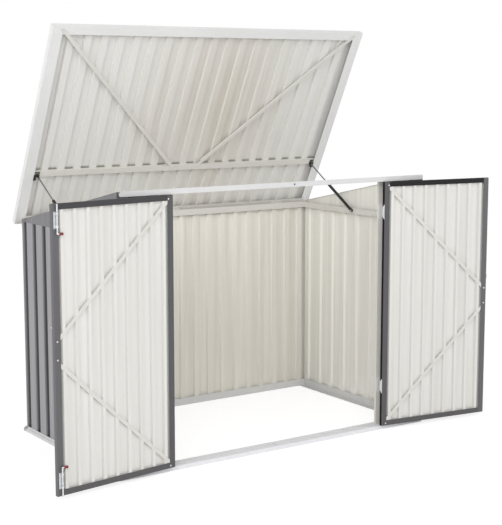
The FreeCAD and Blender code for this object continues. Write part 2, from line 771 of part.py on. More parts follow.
# Doors
def door_spot(side):
    """Turn a distance from a door's hinge edge and a depth into sketch formulas of the closed door."""
    return lambda out, deep: (f"{side} * (door_edge_lap - ({out}))", deep)


def door_stile(side, free):
    """Upright channel of a door frame, open towards the panel."""
    body = new_body(f"{SIDE_NAMES[side]}_door_{'free' if free else 'hinge'}_stile", DOOR[side])
    spot = door_spot(side)
    edge, lip = ("door_width", "door_width - stile_width") if free else ("0", "stile_width")
    path = [spot(lip, "door_inner"), spot(edge, "door_inner"), spot(edge, "door_outer"), spot(lip, "door_outer")]
    turn = side if free else -side
    extrude(body, "XY_Plane", folded(path, "frame_gauge", turn), "door_bottom", "door_top")
    return body


def door_rail(side, head):
    """Level channel of a door frame between the stiles, open towards the panel."""
    body = new_body(f"{SIDE_NAMES[side]}_door_{'top' if head else 'bottom'}_rail", DOOR[side])
    edge = "door_top" if head else "door_bottom"
    lip = "door_top - door_head_rail" if head else "door_bottom + door_foot_rail"
    path = [("door_inner", lip), ("door_inner", edge), ("door_outer", edge), ("door_outer", lip)]
    near, far = "door_edge_lap - (door_width - stile_width)", "door_edge_lap - stile_width"
    extrude(body, "YZ_Plane", folded(path, "frame_gauge", 1 if head else -1), *mirrored_span(side, near, far))
    return body


def door_panel(side):
    """Ribbed door panel, held in the channels of its frame."""
    body = new_body(f"{SIDE_NAMES[side]}_door_panel", DOOR[side])
    middle = f"{side} * (door_edge_lap - door_width / 2)"
    inset = "frame_gauge + fit_gap"
    start = f"{middle} - door_span / 2"
    ribbed_sheet(
        body, "XY_Plane", lambda along, deep: (f"{start} + {along}", f"door_panel_face + {deep}"), 1,
        "door", "door_rib_pitch", ("door_rib_depth", "door_rib_land"),
        (f"door_bottom + {inset}", f"door_top - ({inset})"),
    )
    return body


def strip_corners(start, end, near, far):
    """Corners of a slanting strip from start to end, between two offsets from its line."""
    run, rise = f"({end[0]} - ({start[0]}))", f"({end[1]} - ({start[1]}))"
    length = f"sqrt({run} ^ 2 + {rise} ^ 2)"
    corners = []
    for (across, along), offset in ((start, near), (end, near), (end, far), (start, far)):
        corners.append((f"{across} - {rise} / {length} * ({offset})", f"{along} + {run} / {length} * ({offset})"))
    return corners


def door_braces(side):
    """Two flat braces from the hinge corners to the middle of the free stile."""
    name = SIDE_NAMES[side]
    braces = []
    for way, edge, label in ((-1, "door_top", "upper"), (1, "door_bottom", "lower")):
        body = new_body(f"{name}_door_{label}_brace", DOOR[side])
        start = (f"{side} * (door_edge_lap - brace_corner)", f"{edge} + {way} * brace_corner")
        end = (f"{side} * (door_edge_lap - door_width + brace_end)", f"door_middle - {way} * brace_spread")
        strip = strip_corners(start, end, "-door_brace_width / 2", "door_brace_width / 2")
        extrude(body, "XZ_Plane", strip, "door_inner - 2 * frame_gauge", "door_inner - frame_gauge")
        braces.append(body)
    return group(f"{name}_door_braces", braces)


def bolt_guides():
    """Plates with two rolled guides each, in which the tower bolts slide."""
    spot = door_spot(LEFT)
    plates = []
    for label, low in (("top", "top_plate_low"), ("bottom", "low_plate_low")):
        body = new_body(f"{label}_bolt_guide", DOOR[LEFT])
        high = f"{low} + bolt_plate_height"
        face = "door_inner + bolt_plate"
        near = "bolt_place - bolt_guide_radius - bolt_plate_edge"
        plate_x = (spot(near, "0")[0], spot(f"{near} + bolt_plate_width", "0")[0])
        plate = box_outline(plate_x, ("door_inner", face))
        extrude(body, "XY_Plane", plate, low, high)
        sides = (spot("bolt_place - bolt_guide_radius", "0")[0], spot("bolt_place + bolt_guide_radius", "0")[0])
        for start in (f"{low} + bolt_guide_margin", f"{high} - bolt_guide_margin - bolt_guide_height"):
            end = f"{start} + bolt_guide_height"
            extrude(body, "XY_Plane", box_outline(sides, (face, "bolt_y")), start, end)
            roll = {"centre": spot("bolt_place", "bolt_y"), "radius": "bolt_guide_radius"}
            extrude(body, "XY_Plane", roll, start, end)
        bore = {"centre": spot("bolt_place", "bolt_y"), "radius": "bolt_radius + bolt_running_gap"}
        carve(body, "XY_Plane", bore, f"{low} - cut_over", f"{high} + cut_over")
        plates.append(body)
    return group("bolt_guides", plates)


def tower_bolt(label, tip, way):
    """A round bolt, bent over at its inner end, and the sleeve on the bent end; way points from tip to bend."""
    spot = door_spot(LEFT)
    bend = f"{tip} + {way} * bolt_length"
    across, deep = spot("bolt_place", "bolt_y")
    low = tip if way > 0 else bend
    shank = cylinder(f"{label}_shank", "bolt_radius", "bolt_length", (0, 0, 1), (across, deep, low))
    arm = cylinder(f"{label}_arm", "bolt_radius", "bolt_handle", (-1, 0, 0), (across, deep, bend))
    corner = doc.addObject("Part::Sphere", f"{label}_corner")
    corner.setExpression("Radius", bind("bolt_radius"))
    for letter, formula in zip("xyz", (across, deep, bend)):
        corner.setExpression(f"Placement.Base.{letter}", bind(formula))
    rod = doc.addObject("Part::MultiFuse", f"{label}_rod")
    rod.Shapes = [shank, arm, corner]
    rod.Refine = True
    place(rod, DOOR[LEFT])
    grip_start = f"{across} - bolt_handle + sleeve_length"
    outer = cylinder(f"{label}_grip", "sleeve_radius", "sleeve_length", (-1, 0, 0), (grip_start, deep, bend))
    bore = "bolt_radius + hinge_clearance"
    inner = cylinder(f"{label}_grip_bore", bore, "sleeve_length", (-1, 0, 0), (grip_start, deep, bend))
    sleeve = doc.addObject("Part::Cut", f"{label}_sleeve")
    sleeve.Base, sleeve.Tool = outer, inner
    place(sleeve, DOOR[LEFT])
    return [rod, sleeve]


def hasp():
    """Hasp strap on the right door, drilled for the stud of the left door."""
    body = new_body("door_hasp", DOOR[RIGHT])
    spot = door_spot(RIGHT)
    across = (spot("door_width - hasp_length", "0")[0], spot("door_width + hasp_reach", "0")[0])
    high = ("hasp_height - hasp_width / 2", "hasp_height + hasp_width / 2")
    extrude(body, "XZ_Plane", box_outline(across, high), "door_outer - hasp_gauge", "door_outer")
    hole = {"centre": (spot("door_width + hasp_hole_reach", "0")[0], "hasp_height"), "radius": "hasp_hole_radius"}
    carve(body, "XZ_Plane", hole, "door_outer - 2 * hasp_gauge", "door_outer + hasp_gauge")
    return body


def hasp_stud():
    """Stud on the left door that comes through the hasp and takes the padlock."""
    body = new_body("door_lock_stud", DOOR[LEFT])
    centre = (f"{door_spot(LEFT)('door_width - hasp_hole_reach + door_meeting_gap', '0')[0]}", "hasp_height")
    stem = {"centre": centre, "radius": "hasp_stud_radius"}
    extrude(body, "XZ_Plane", stem, "door_outer - hasp_stud_length", "door_outer")
    return body


# Lid
def lid_corner_cut(body, side, front, keep_side_rail):
    """Mitre one end of a lid edge rail: cut away the half that belongs to its neighbour."""
    edge_y, end_flange, way = lid_end(front)
    corner = (f"{side} * lid_half", edge_y)
    inner_x, inner_y = f"{side} * (lid_half - 2 * lid_side_flange)", f"{edge_y} + {way} * 2 * {end_flange}"
    outer_x, outer_y = f"{side} * (lid_half + cut_over)", f"{edge_y} - {way} * cut_over"
    far_end = (inner_x, outer_y) if keep_side_rail else (outer_x, inner_y)
    outline = [corner, (inner_x, inner_y), far_end, (outer_x, outer_y)]
    carve(body, "XY_Plane", outline, "lid_under - cut_over", "lid_under + lid_edge_height + cut_over")


def lid_end(front):
    """Edge line, flange width and inward direction of the lid's front or back edge."""
    return ("-lid_front_reach", "lid_front_flange", 1) if front else ("lid_back_reach", "lid_back_flange", -1)


def lid_edge_folds(flange):
    """Folds of a lid edge rail: lower flange, outer web and cap."""
    top = "lid_under + lid_edge_height"
    return [(flange, "lid_under"), ("0", "lid_under"), ("0", top), ("lid_cap", top)]


def lid_end_rail(front):
    """Front or back edge of the lid: a channel with a wide lower flange, mitred at both ends."""
    body = new_body(f"lid_{'front' if front else 'back'}_rail", LID)
    edge, flange, way = lid_end(front)
    path = [(f"{edge} + {way} * ({inward})", up) for inward, up in lid_edge_folds(flange)]
    extrude(body, "YZ_Plane", folded(path, "frame_gauge", -way), "-lid_half", "lid_half")
    for side in (LEFT, RIGHT):
        lid_corner_cut(body, side, front, keep_side_rail=False)
    return body


def lid_side_rail(side):
    """Side edge of the lid: the same channel, mitred at both ends."""
    body = new_body(f"lid_{SIDE_NAMES[side]}_rail", LID)
    path = [(f"{side} * (lid_half - ({inward}))", up) for inward, up in lid_edge_folds("lid_side_flange")]
    extrude(body, "XZ_Plane", folded(path, "frame_gauge", side), "-lid_front_reach", "lid_back_reach")
    for front in (True, False):
        lid_corner_cut(body, side, front, keep_side_rail=True)
    return body


def lid_panel():
    """Ribbed lid sheet, held in the edge rails."""
    body = new_body("lid_panel", LID)
    inset = "frame_gauge + fit_gap"
    ribbed_sheet(
        body, "XZ_Plane", lambda along, deep: (f"{along} - lid_span / 2", f"lid_panel_face - {deep}"), -1,
        "lid", "lid_rib_pitch", ("lid_rib_depth", "lid_rib_land"),
        (f"{inset} - lid_front_reach", f"lid_back_reach - ({inset})"),
    )
    return body


def lid_cross_rail():
    """Channel across the lid between its side rails, open towards the panel, notched for the strut ends."""
    body = new_body("lid_cross_rail", LID)
    front, back = "-cross_rail_place", "cross_rail_width - cross_rail_place"
    path = [(front, "lid_panel_under"), (front, "lid_under"), (back, "lid_under"), (back, "lid_panel_under")]
    end = "(lid_half - lid_side_flange)"
    extrude(body, "YZ_Plane", folded(path, "frame_gauge", 1), f"-{end}", end)
    notch = box_outline(("frame_gauge - cross_rail_place", f"{back} + cut_over"), ("0", "lid_panel_face"))
    for side in (LEFT, RIGHT):
        carve(body, "YZ_Plane", notch, *mirrored_span(side, "strut_x - strut_eye_width", f"{end} + cut_over"))
    return body


def lid_braces():
    """Two angle braces under the lid, from the cross rail to the front corners of the frame."""
    braces = []
    near_y, far_y = "lid_brace_lap - cross_rail_place", "lid_brace_front - lid_front_reach"
    near_x, far_x = "lid_brace_middle", "(lid_half - lid_brace_side)"

    def spot_at(side, along):
        """Point on a brace's middle line at a place along the lid."""
        part = f"({along} - ({near_y})) / ({far_y} - ({near_y}))"
        return f"{side} * ({near_x} + ({far_x} - {near_x}) * {part})", along

    for side in (LEFT, RIGHT):
        body = new_body(f"lid_{SIDE_NAMES[side]}_brace", LID)
        near, far = "-lid_brace_width / 2", "lid_brace_width / 2"
        flat = strip_corners(spot_at(side, near_y), spot_at(side, far_y), near, far)
        extrude(body, "XY_Plane", flat, "lid_under - frame_gauge", "lid_under")
        leg_start = spot_at(side, "(-cross_rail_place - lid_brace_width)")
        leg_end = spot_at(side, "(lid_front_flange + lid_brace_width - lid_front_reach)")
        rim = (near, f"{near} + frame_gauge") if side == RIGHT else (f"{far} - frame_gauge", far)
        leg = strip_corners(leg_start, leg_end, *rim)
        extrude(body, "XY_Plane", leg, "lid_under", "lid_under + lid_brace_leg")
        braces.append(body)
    return group("lid_braces", braces)


# Gas struts
def strut_wall_bracket(side):
    """Plate on a side top rail with the shouldered pin that carries the strut body."""
    body = new_body(f"{SIDE_NAMES[side]}_strut_wall_bracket")
    face = "top_rail_face"
    across = ("strut_wall_y - bracket_width / 2", "strut_wall_y + bracket_width / 2")
    high = ("strut_wall_height - bracket_height / 2", "strut_wall_height + bracket_height / 2")
    plate = mirrored_span(side, f"{face} - bracket_gauge", face)
    extrude(body, "YZ_Plane", box_outline(across, high), *plate)
    centre = ("strut_wall_y", "strut_wall_height")
    eye_side, eye_end = "strut_x + strut_eye_width / 2 + fit_gap", "strut_x - strut_eye_width / 2 - fit_gap"
    shoulder = {"centre": centre, "radius": "strut_shoulder_radius"}
    extrude(body, "YZ_Plane", shoulder, *mirrored_span(side, eye_side, f"{face} - bracket_gauge"))
    pin = {"centre": centre, "radius": "strut_pin_radius"}
    extrude(body, "YZ_Plane", pin, *mirrored_span(side, eye_end, eye_side))
    return body


def strut_lid_bracket(side):
    """Folded bracket under a side rail of the lid, with an upstand beside the eye of the strut rod."""
    body = new_body(f"{SIDE_NAMES[side]}_strut_lid_bracket", LID)
    eye_face = "strut_x + strut_eye_width / 2 + fit_gap"
    low = "lid_under - bracket_gauge"
    path = [
        (f"{side} * ({eye_face} + bracket_gauge + bracket_leg)", low),
        (f"{side} * ({eye_face})", low),
        (f"{side} * ({eye_face})", "strut_lid_rise + strut_eye_radius"),
    ]
    front = "-strut_lid_place - strut_shoulder_radius"
    ends = (front, f"{front} + bracket_width")
    extrude(body, "XZ_Plane", folded(path, "bracket_gauge", -side), *ends)
    return body


def revolve(body, outline):
    """A turned piece: an outline of radius and length, spun about the strut's axis."""
    sketch = new_sketch(body, "XY_Plane", "0")
    draw_outline(sketch, outline)
    turned = body.newObject("PartDesign::Revolution", body.Name + "_turned")
    turned.Profile = sketch
    turned.ReferenceAxis = (sketch, ["V_Axis"])
    turned.Angle = 360
    body.Tip = turned


def strut_eye(body, centre, bore):
    """A drilled eye across the strut's axis."""
    half = "strut_eye_width / 2"
    extrude(body, "YZ_Plane", {"centre": (centre, "0"), "radius": "strut_eye_radius"}, f"-{half}", half)
    hole = {"centre": (centre, "0"), "radius": bore}
    carve(body, "YZ_Plane", hole, "-strut_eye_width", "strut_eye_width")


def strut_cylinder(side):
    """Strut body: a tube closed by the rod guide, on an eye at the wall pin."""
    body = new_body(f"{SIDE_NAMES[side]}_strut_cylinder", STRUT[side])
    bore = "strut_radius - strut_wall"
    rod = "strut_rod_radius + strut_pin_clearance"
    neck, foot = "strut_rod_radius + strut_wall", "strut_pin_radius + strut_wall"
    heel, seat = "strut_eye_radius + strut_wall", "2 * strut_eye_radius"
    top, guide = "strut_body_reach", "strut_body_reach - strut_guide"
    revolve(body, [
        ("0", foot), (neck, foot), (neck, heel), ("strut_radius", heel), ("strut_radius", top), (rod, top),
        (rod, guide), (bore, guide), (bore, seat), ("0", seat),
    ])
    strut_eye(body, "0", "strut_pin_radius + strut_pin_clearance")
    return body


def strut_rod(side):
    """Strut rod with its piston inside the body and an eye at the lid end."""
    body = new_body(f"{SIDE_NAMES[side]}_strut_rod", STRUT[side])
    bore = "strut_radius - strut_wall - strut_pin_clearance"
    piston_top = "strut_body_reach - strut_guide - strut_wall"
    end = "strut_length - strut_eye_radius + strut_wall"
    revolve(body, [
        ("0", f"{piston_top} - strut_piston"), (bore, f"{piston_top} - strut_piston"), (bore, piston_top),
        ("strut_rod_radius", piston_top), ("strut_rod_radius", end), ("0", end),
    ])
    strut_eye(body, "strut_length", "strut_pin_radius")
    return body


nodes = [front_sill(), back_base_rail(), back_wall(), header(), back_top_rail()]
for side in (LEFT, RIGHT):
    nodes += [side_base_rail(side), side_wall(side), front_panel(side), front_corner_post(side), door_post(side)]
    nodes += [side_top_rail(side), gable(side), door_stile(side, False), door_stile(side, True)]
    nodes += [door_rail(side, True), door_rail(side, False), door_panel(side), door_braces(side)]
    nodes += [lid_side_rail(side), strut_cylinder(side), strut_rod(side)]
nodes += [group("back_corner_angles", [back_corner_angle(side) for side in (LEFT, RIGHT)])]
nodes += [lid_end_rail(True), lid_end_rail(False), lid_panel(), lid_cross_rail(), lid_braces()]
nodes += [group("strut_wall_brackets", [strut_wall_bracket(side) for side in (LEFT, RIGHT)])]
nodes += [group("strut_lid_brackets", [strut_lid_bracket(side) for side in (LEFT, RIGHT)])]
nodes += door_hinges() + lid_hinges()
nodes += [bolt_guides(), hasp(), hasp_stud()]
nodes += tower_bolt("top_bolt", "door_top", -1) + tower_bolt("bottom_bolt", "door_bottom", 1)
doc.recompute()

for thing in doc.Objects:
    if {"Invalid", "Error"} & set(thing.State):
        raise RuntimeError(f"{thing.Label} did not compute: {thing.State}")
for node in nodes:
    if node.Shape.isNull() or not node.Shape.isValid():
        raise RuntimeError(f"{node.Label} has no valid shape")

os.makedirs("parts", exist_ok=True)
for node in nodes:
    node.Shape.exportStep(f"parts/{node.Label}.step")
print(len(nodes), "nodes")
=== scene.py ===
"""Bike shed of folded and ribbed sheet steel: finishes, fixings, camera and studio round its frame."""
import logging
import math
from collections.abc import Sequence
from dataclasses import dataclass
from enum import Enum

import bmesh
import bpy
from mathutils import Matrix, Vector


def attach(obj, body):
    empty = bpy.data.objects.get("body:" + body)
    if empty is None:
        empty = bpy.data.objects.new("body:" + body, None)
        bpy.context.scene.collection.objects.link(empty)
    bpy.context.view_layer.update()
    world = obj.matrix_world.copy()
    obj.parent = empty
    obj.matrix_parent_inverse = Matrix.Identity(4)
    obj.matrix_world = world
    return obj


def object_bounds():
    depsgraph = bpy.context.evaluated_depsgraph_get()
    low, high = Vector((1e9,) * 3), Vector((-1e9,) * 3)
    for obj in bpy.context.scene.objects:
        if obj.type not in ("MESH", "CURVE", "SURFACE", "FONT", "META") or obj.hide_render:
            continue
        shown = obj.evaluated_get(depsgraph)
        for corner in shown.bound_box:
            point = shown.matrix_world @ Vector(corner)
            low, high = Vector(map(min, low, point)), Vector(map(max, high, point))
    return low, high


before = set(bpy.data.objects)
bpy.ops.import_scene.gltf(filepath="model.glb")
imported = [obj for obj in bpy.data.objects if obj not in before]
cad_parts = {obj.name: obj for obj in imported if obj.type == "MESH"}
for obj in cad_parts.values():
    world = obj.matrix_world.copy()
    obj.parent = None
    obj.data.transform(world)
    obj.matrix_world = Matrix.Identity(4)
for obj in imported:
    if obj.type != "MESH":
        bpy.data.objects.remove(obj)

LOG = logging.getLogger("bike_shed")
CAD_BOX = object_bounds()
MM = 0.001
MERGE_DISTANCE = 0.01 * MM
FULL_TURN = 2 * math.pi
WHITE = (1.0, 1.0, 1.0, 1.0)
FRONT = Vector((0.0, -1.0, 0.0))
BACK = Vector((0.0, 1.0, 0.0))

# Places that two assemblies share, in millimetres
DOOR_HINGE_LEVELS = (214.0, 1207.0)
LID_HINGE_SPACING = 760.0
LID_LEAF_OFFSET = 28.0
STRUT_FOOT = (23.8, 1191.8)

# Numbers of the sRGB curve
SRGB_KNEE = 0.04045
SRGB_SLOPE = 12.92
SRGB_OFFSET = 0.055
SRGB_POWER = 2.4

# Sockets of a mix node that mixes colours
SHARE, FROM, TO, MIXED = 0, 6, 7, 2

Node = bpy.types.Node
Socket = bpy.types.NodeSocket
Tree = bpy.types.NodeTree
Pair = tuple[float, float]
Triple = tuple[float, float, float]
Seat = tuple[Vector, Vector]


class Side(Enum):
    """Left and right as they are seen from the front."""

    LEFT = -1
    RIGHT = 1

    @property
    def word(self) -> str:
        """Name of the side, as the node names have it."""
        return self.name.lower()


class Ray(Enum):
    """Rays that see the white of the studio instead of its grey."""

    CAMERA = "Is Camera Ray"
    GLOSSY = "Is Glossy Ray"
    TRANSMISSION = "Is Transmission Ray"


def linear(hex_colour: str) -> tuple[float, float, float, float]:
    """Turn an sRGB hex colour into linear light.

    Args:
        hex_colour: six hex digits after a hash sign.

    Returns:
        Red, green, blue and an alpha of one.
    """
    parts = [int(hex_colour[i : i + 2], 16) / 255 for i in (1, 3, 5)]
    light = [
        part / SRGB_SLOPE if part <= SRGB_KNEE else ((part + SRGB_OFFSET) / (1 + SRGB_OFFSET)) ** SRGB_POWER
        for part in parts
    ]
    return (*light, 1.0)


def per_metre(size_mm: float) -> float:
    """Pattern scale, in repeats per metre, of a feature of the given size."""
    return 1 / (size_mm * MM)


def add_node(tree: Tree, kind: str, inputs: dict | None = None, **settings: object) -> Node:
    """Add one node with its settings and links.

    Args:
        tree: node tree that takes the node.
        kind: type name of the node.
        inputs: values or output sockets for the node's inputs, by name or number.
        settings: attributes of the node itself.

    Returns:
        The new node.
    """
    node = tree.nodes.new(kind)
    for key, value in settings.items():
        setattr(node, key, value)
    for key, value in (inputs or {}).items():
        if isinstance(value, Socket):
            tree.links.new(value, node.inputs[key])
        else:
            node.inputs[key].default_value = value
    return node


def blank_material(name: str) -> tuple[bpy.types.Material, Tree]:
    """Make a material with an empty node tree.

    Args:
        name: name of the material.

    Returns:
        The material and its tree.
    """
    material = bpy.data.materials.new(name)
    material.use_nodes = True
    material.node_tree.nodes.clear()
    return material, material.node_tree


@dataclass(frozen=True)
class PowderCoat:
    """Polyester powder coat on steel: satin, with a fine orange peel and faint handling marks.

    The peel is drawn coarser than the real one of a millimetre or two, so that it shows.
    """

    name: str
    colour: str
    marked_colour: str
    roughness: float
    shine: float = 0.5
    ior: float = 1.5
    gloss_swing: Pair = (-0.06, 0.08)
    peel_mm: float = 4.0
    peel_depth_mm: float = 0.04
    peel_strength: float = 0.35
    peel_detail: float = 2.0
    cloud_mm: float = 260.0
    cloud_detail: float = 4.0
    cloud_span: Pair = (0.3, 0.7)

    def material(self) -> bpy.types.Material:
        """Build the node tree of the coat.

        Returns:
            The finished material.
        """
        material, tree = blank_material(self.name)
        place = add_node(tree, "ShaderNodeTexCoord").outputs["Object"]
        cloud = add_node(
            tree, "ShaderNodeTexNoise",
            {"Vector": place, "Scale": per_metre(self.cloud_mm), "Detail": self.cloud_detail},
        ).outputs["Fac"]
        tone = add_node(
            tree, "ShaderNodeMix",
            {SHARE: cloud, FROM: linear(self.colour), TO: linear(self.marked_colour)}, data_type="RGBA",
        )
        self.coat(tree, place, cloud, tone.outputs[MIXED])
        return material

    def coat(self, tree: Tree, place: Socket, cloud: Socket, colour: Socket) -> None:
        """Add the satin shader with its orange peel to a tree.

        Args:
            tree: node tree of the material.
            place: object coordinates.
            cloud: slow noise that varies the gloss.
            colour: colour of the coat.
        """
        bump = self.relief(tree, place)
        low, high = self.cloud_span
        glossy, dull = (self.roughness + swing for swing in self.gloss_swing)
        gloss = add_node(
            tree, "ShaderNodeMapRange",
            {"Value": cloud, "From Min": low, "From Max": high, "To Min": glossy, "To Max": dull},
        )
        shader = add_node(
            tree, "ShaderNodeBsdfPrincipled",
            {"Base Color": colour, "Roughness": gloss.outputs["Result"], "Normal": bump.outputs["Normal"],
             "IOR": self.ior, "Specular IOR Level": self.shine},
        )
        add_node(tree, "ShaderNodeOutputMaterial", {"Surface": shader.outputs["BSDF"]})

    def relief(self, tree: Tree, place: Socket) -> Node:
        """Add the orange peel of the coat.

        Args:
            tree: node tree of the material.
            place: object coordinates.

        Returns:
            The bump node that holds the relief.
        """
        peel = add_node(
            tree, "ShaderNodeTexNoise",
            {"Vector": place, "Scale": per_metre(self.peel_mm), "Detail": self.peel_detail},
        )
        depth = self.peel_depth_mm * MM
        return add_node(
            tree, "ShaderNodeBump",
            {"Strength": self.peel_strength, "Distance": depth, "Height": peel.outputs["Fac"]},
        )


@dataclass(frozen=True)
class Outside:
    """Colours of a sheet's outer side: its flats and its marks."""

    colour: str
    marked: str


@dataclass(frozen=True)
class Inside:
    """Colours of a sheet's inner side: its flats, its marks and the painted light and shade on its bends.

    The bends that look to the right have a painted shade of their own where one is given.
    """

    colour: str
    marked: str
    bend: str
    lee: str = ""


@dataclass(frozen=True, kw_only=True)
class CoilCoat(PowderCoat):
    """Coil-coated sheet: grey outside and cream inside, with slow waves in the metal.

    The rolls draw faint streaks along the ribs; the bends of the inner side carry painted light and shade in
    tones of their own.
    The outer colour is darkened with the depth of a groove: painted shade, since the grooves hold less light
    than the flats.
    """

    inside: Inside
    outward: Triple
    across: Triple = (1.0, 0.0, 0.0)
    face: float = 0.0
    edge_on: float = 0.02
    # Where the painted light and shade of the bends begins and where it is full
    bend_span: Pair = (-0.97, -0.8)
    # Colour of the painted shade on the floor of a groove
    groove_colour: str = "#444345"
    groove_mm: float = 14.0
    groove_span: Pair = (0.8, 0.1)
    wave_mm: float = 170.0
    wave_depth_mm: float = 0.12
    wave_strength: float = 0.6
    wave_detail: float = 1.0
    streak_mm: float = 34.0
    streak_length_mm: float = 1100.0
    streak_detail: float = 1.0
    streak_span: Pair = (0.32, 0.68)

    def relief(self, tree: Tree, place: Socket) -> Node:
        """Add the slow waves of thin sheet under the orange peel.

        Args:
            tree: node tree of the material.
            place: object coordinates.

        Returns:
            The bump node that holds both.
        """
        wave = add_node(
            tree, "ShaderNodeTexNoise",
            {"Vector": place, "Scale": per_metre(self.wave_mm), "Detail": self.wave_detail},
        )
        depth = self.wave_depth_mm * MM
        sheet = add_node(
            tree, "ShaderNodeBump",
            {"Strength": self.wave_strength, "Distance": depth, "Height": wave.outputs["Fac"]},
        )
        peel = super().relief(tree, place)
        tree.links.new(sheet.outputs["Normal"], peel.inputs["Normal"])
        return peel

    def material(self) -> bpy.types.Material:
        """Build the node tree of the two-sided coat.

        Returns:
            The finished material.
        """
        material, tree = blank_material(self.name)
        coords = add_node(tree, "ShaderNodeTexCoord")
        place, normal = coords.outputs["Object"], coords.outputs["Normal"]
        drawn = add_node(tree, "ShaderNodeVectorMath", {0: place, 1: self.stretch()}, operation="MULTIPLY")
        noise = add_node(
            tree, "ShaderNodeTexNoise",
            {"Vector": drawn.outputs[0], "Scale": 1.0, "Detail": self.streak_detail},
        ).outputs["Fac"]
        low, high = self.streak_span
        streak = add_node(
            tree, "ShaderNodeMapRange", {"Value": noise, "From Min": low, "From Max": high}
        ).outputs["Result"]
        height, facing = (
            add_node(
                tree, "ShaderNodeVectorMath", {0: vector, 1: self.outward}, operation="DOT_PRODUCT"
            ).outputs["Value"]
            for vector in (place, normal)
        )
        outer = self.outer_tone(tree, streak, height)
        share = self.inner_share(tree, place, streak)
        inner = self.gap_shade(tree, place, height, self.inner_tone(tree, share, normal, facing))
        outside = add_node(tree, "ShaderNodeMath", {0: facing, 1: self.edge_on}, operation="GREATER_THAN")
        tone = add_node(
            tree, "ShaderNodeMix", {SHARE: outside.outputs["Value"], FROM: inner, TO: outer}, data_type="RGBA"
        )
        self.coat(tree, place, noise, tone.outputs[MIXED])
        return material

    def stretch(self) -> tuple[float, ...]:
        """Scale of the streaks on each axis: fine across the ribs and long beside them."""
        fine, slow = per_metre(self.streak_mm), per_metre(self.streak_length_mm)
        return tuple(slow + (fine - slow) * share for share in self.across)

    def outer_tone(self, tree: Tree, streak: Socket, height: Socket) -> Socket:
        """Colour of the outer side, with painted shade that deepens with the depth of a groove.

        Args:
            tree: node tree of the material.
            streak: streaks of the coat.
            height: distance along the outward direction.

        Returns:
            The socket that holds the colour.
        """
        flat = add_node(
            tree, "ShaderNodeMix",
            {SHARE: streak, FROM: linear(self.colour), TO: linear(self.marked_colour)}, data_type="RGBA",
        )
        # Painted shade: the outer colour darkens from the rim to the floor of each groove
        floor, rim = (self.face - share * self.groove_mm * MM for share in self.groove_span)
        rise = add_node(tree, "ShaderNodeMapRange", {"Value": height, "From Min": floor, "From Max": rim})
        return add_node(
            tree, "ShaderNodeMix",
            {SHARE: rise.outputs["Result"], FROM: linear(self.groove_colour), TO: flat.outputs[MIXED]},
            data_type="RGBA",
        ).outputs[MIXED]

    def inner_tone(self, tree: Tree, share: Socket, normal: Socket, facing: Socket) -> Socket:
        """Colour of the inner side, with painted light and shade on its bends.

        Args:
            tree: node tree of the material.
            share: share of the marked colour.
            normal: normal of the surface.
            facing: how far the surface looks outwards, from minus one to one.

        Returns:
            The socket that holds the colour.
        """
        tones = self.inside
        flat = add_node(
            tree, "ShaderNodeMix",
            {SHARE: share, FROM: linear(tones.colour), TO: linear(tones.marked)}, data_type="RGBA",
        )
        # Painted light and shade on the bends: one tone for the bends, and a painted shade for those that
        # look to the right
        sideways = add_node(
            tree, "ShaderNodeVectorMath", {0: normal, 1: self.across}, operation="DOT_PRODUCT"
        )
        lee = add_node(
            tree, "ShaderNodeMath", {0: sideways.outputs["Value"], 1: 0.0}, operation="GREATER_THAN"
        )
        flank_shading = add_node(
            tree, "ShaderNodeMix",
            {SHARE: lee.outputs["Value"], FROM: linear(tones.bend), TO: linear(tones.lee or tones.bend)},
            data_type="RGBA",
        )
        low, high = self.bend_span
        bend = add_node(tree, "ShaderNodeMapRange", {"Value": facing, "From Min": low, "From Max": high})
        return add_node(
            tree, "ShaderNodeMix",
            {SHARE: bend.outputs["Result"], FROM: flat.outputs[MIXED], TO: flank_shading.outputs[MIXED]},
            data_type="RGBA",
        ).outputs[MIXED]

    def inner_share(self, tree: Tree, place: Socket, streak: Socket) -> Socket:
        """Share of the marked colour over the inner side: the streaks alone on a wall or a door."""
        return streak

    def gap_shade(self, tree: Tree, place: Socket, height: Socket, colour: Socket) -> Socket:
        """Colour of the inner side with the painted shadow where a rail crosses the ribs: unchanged on a wall
        or a door.
        """
        return colour


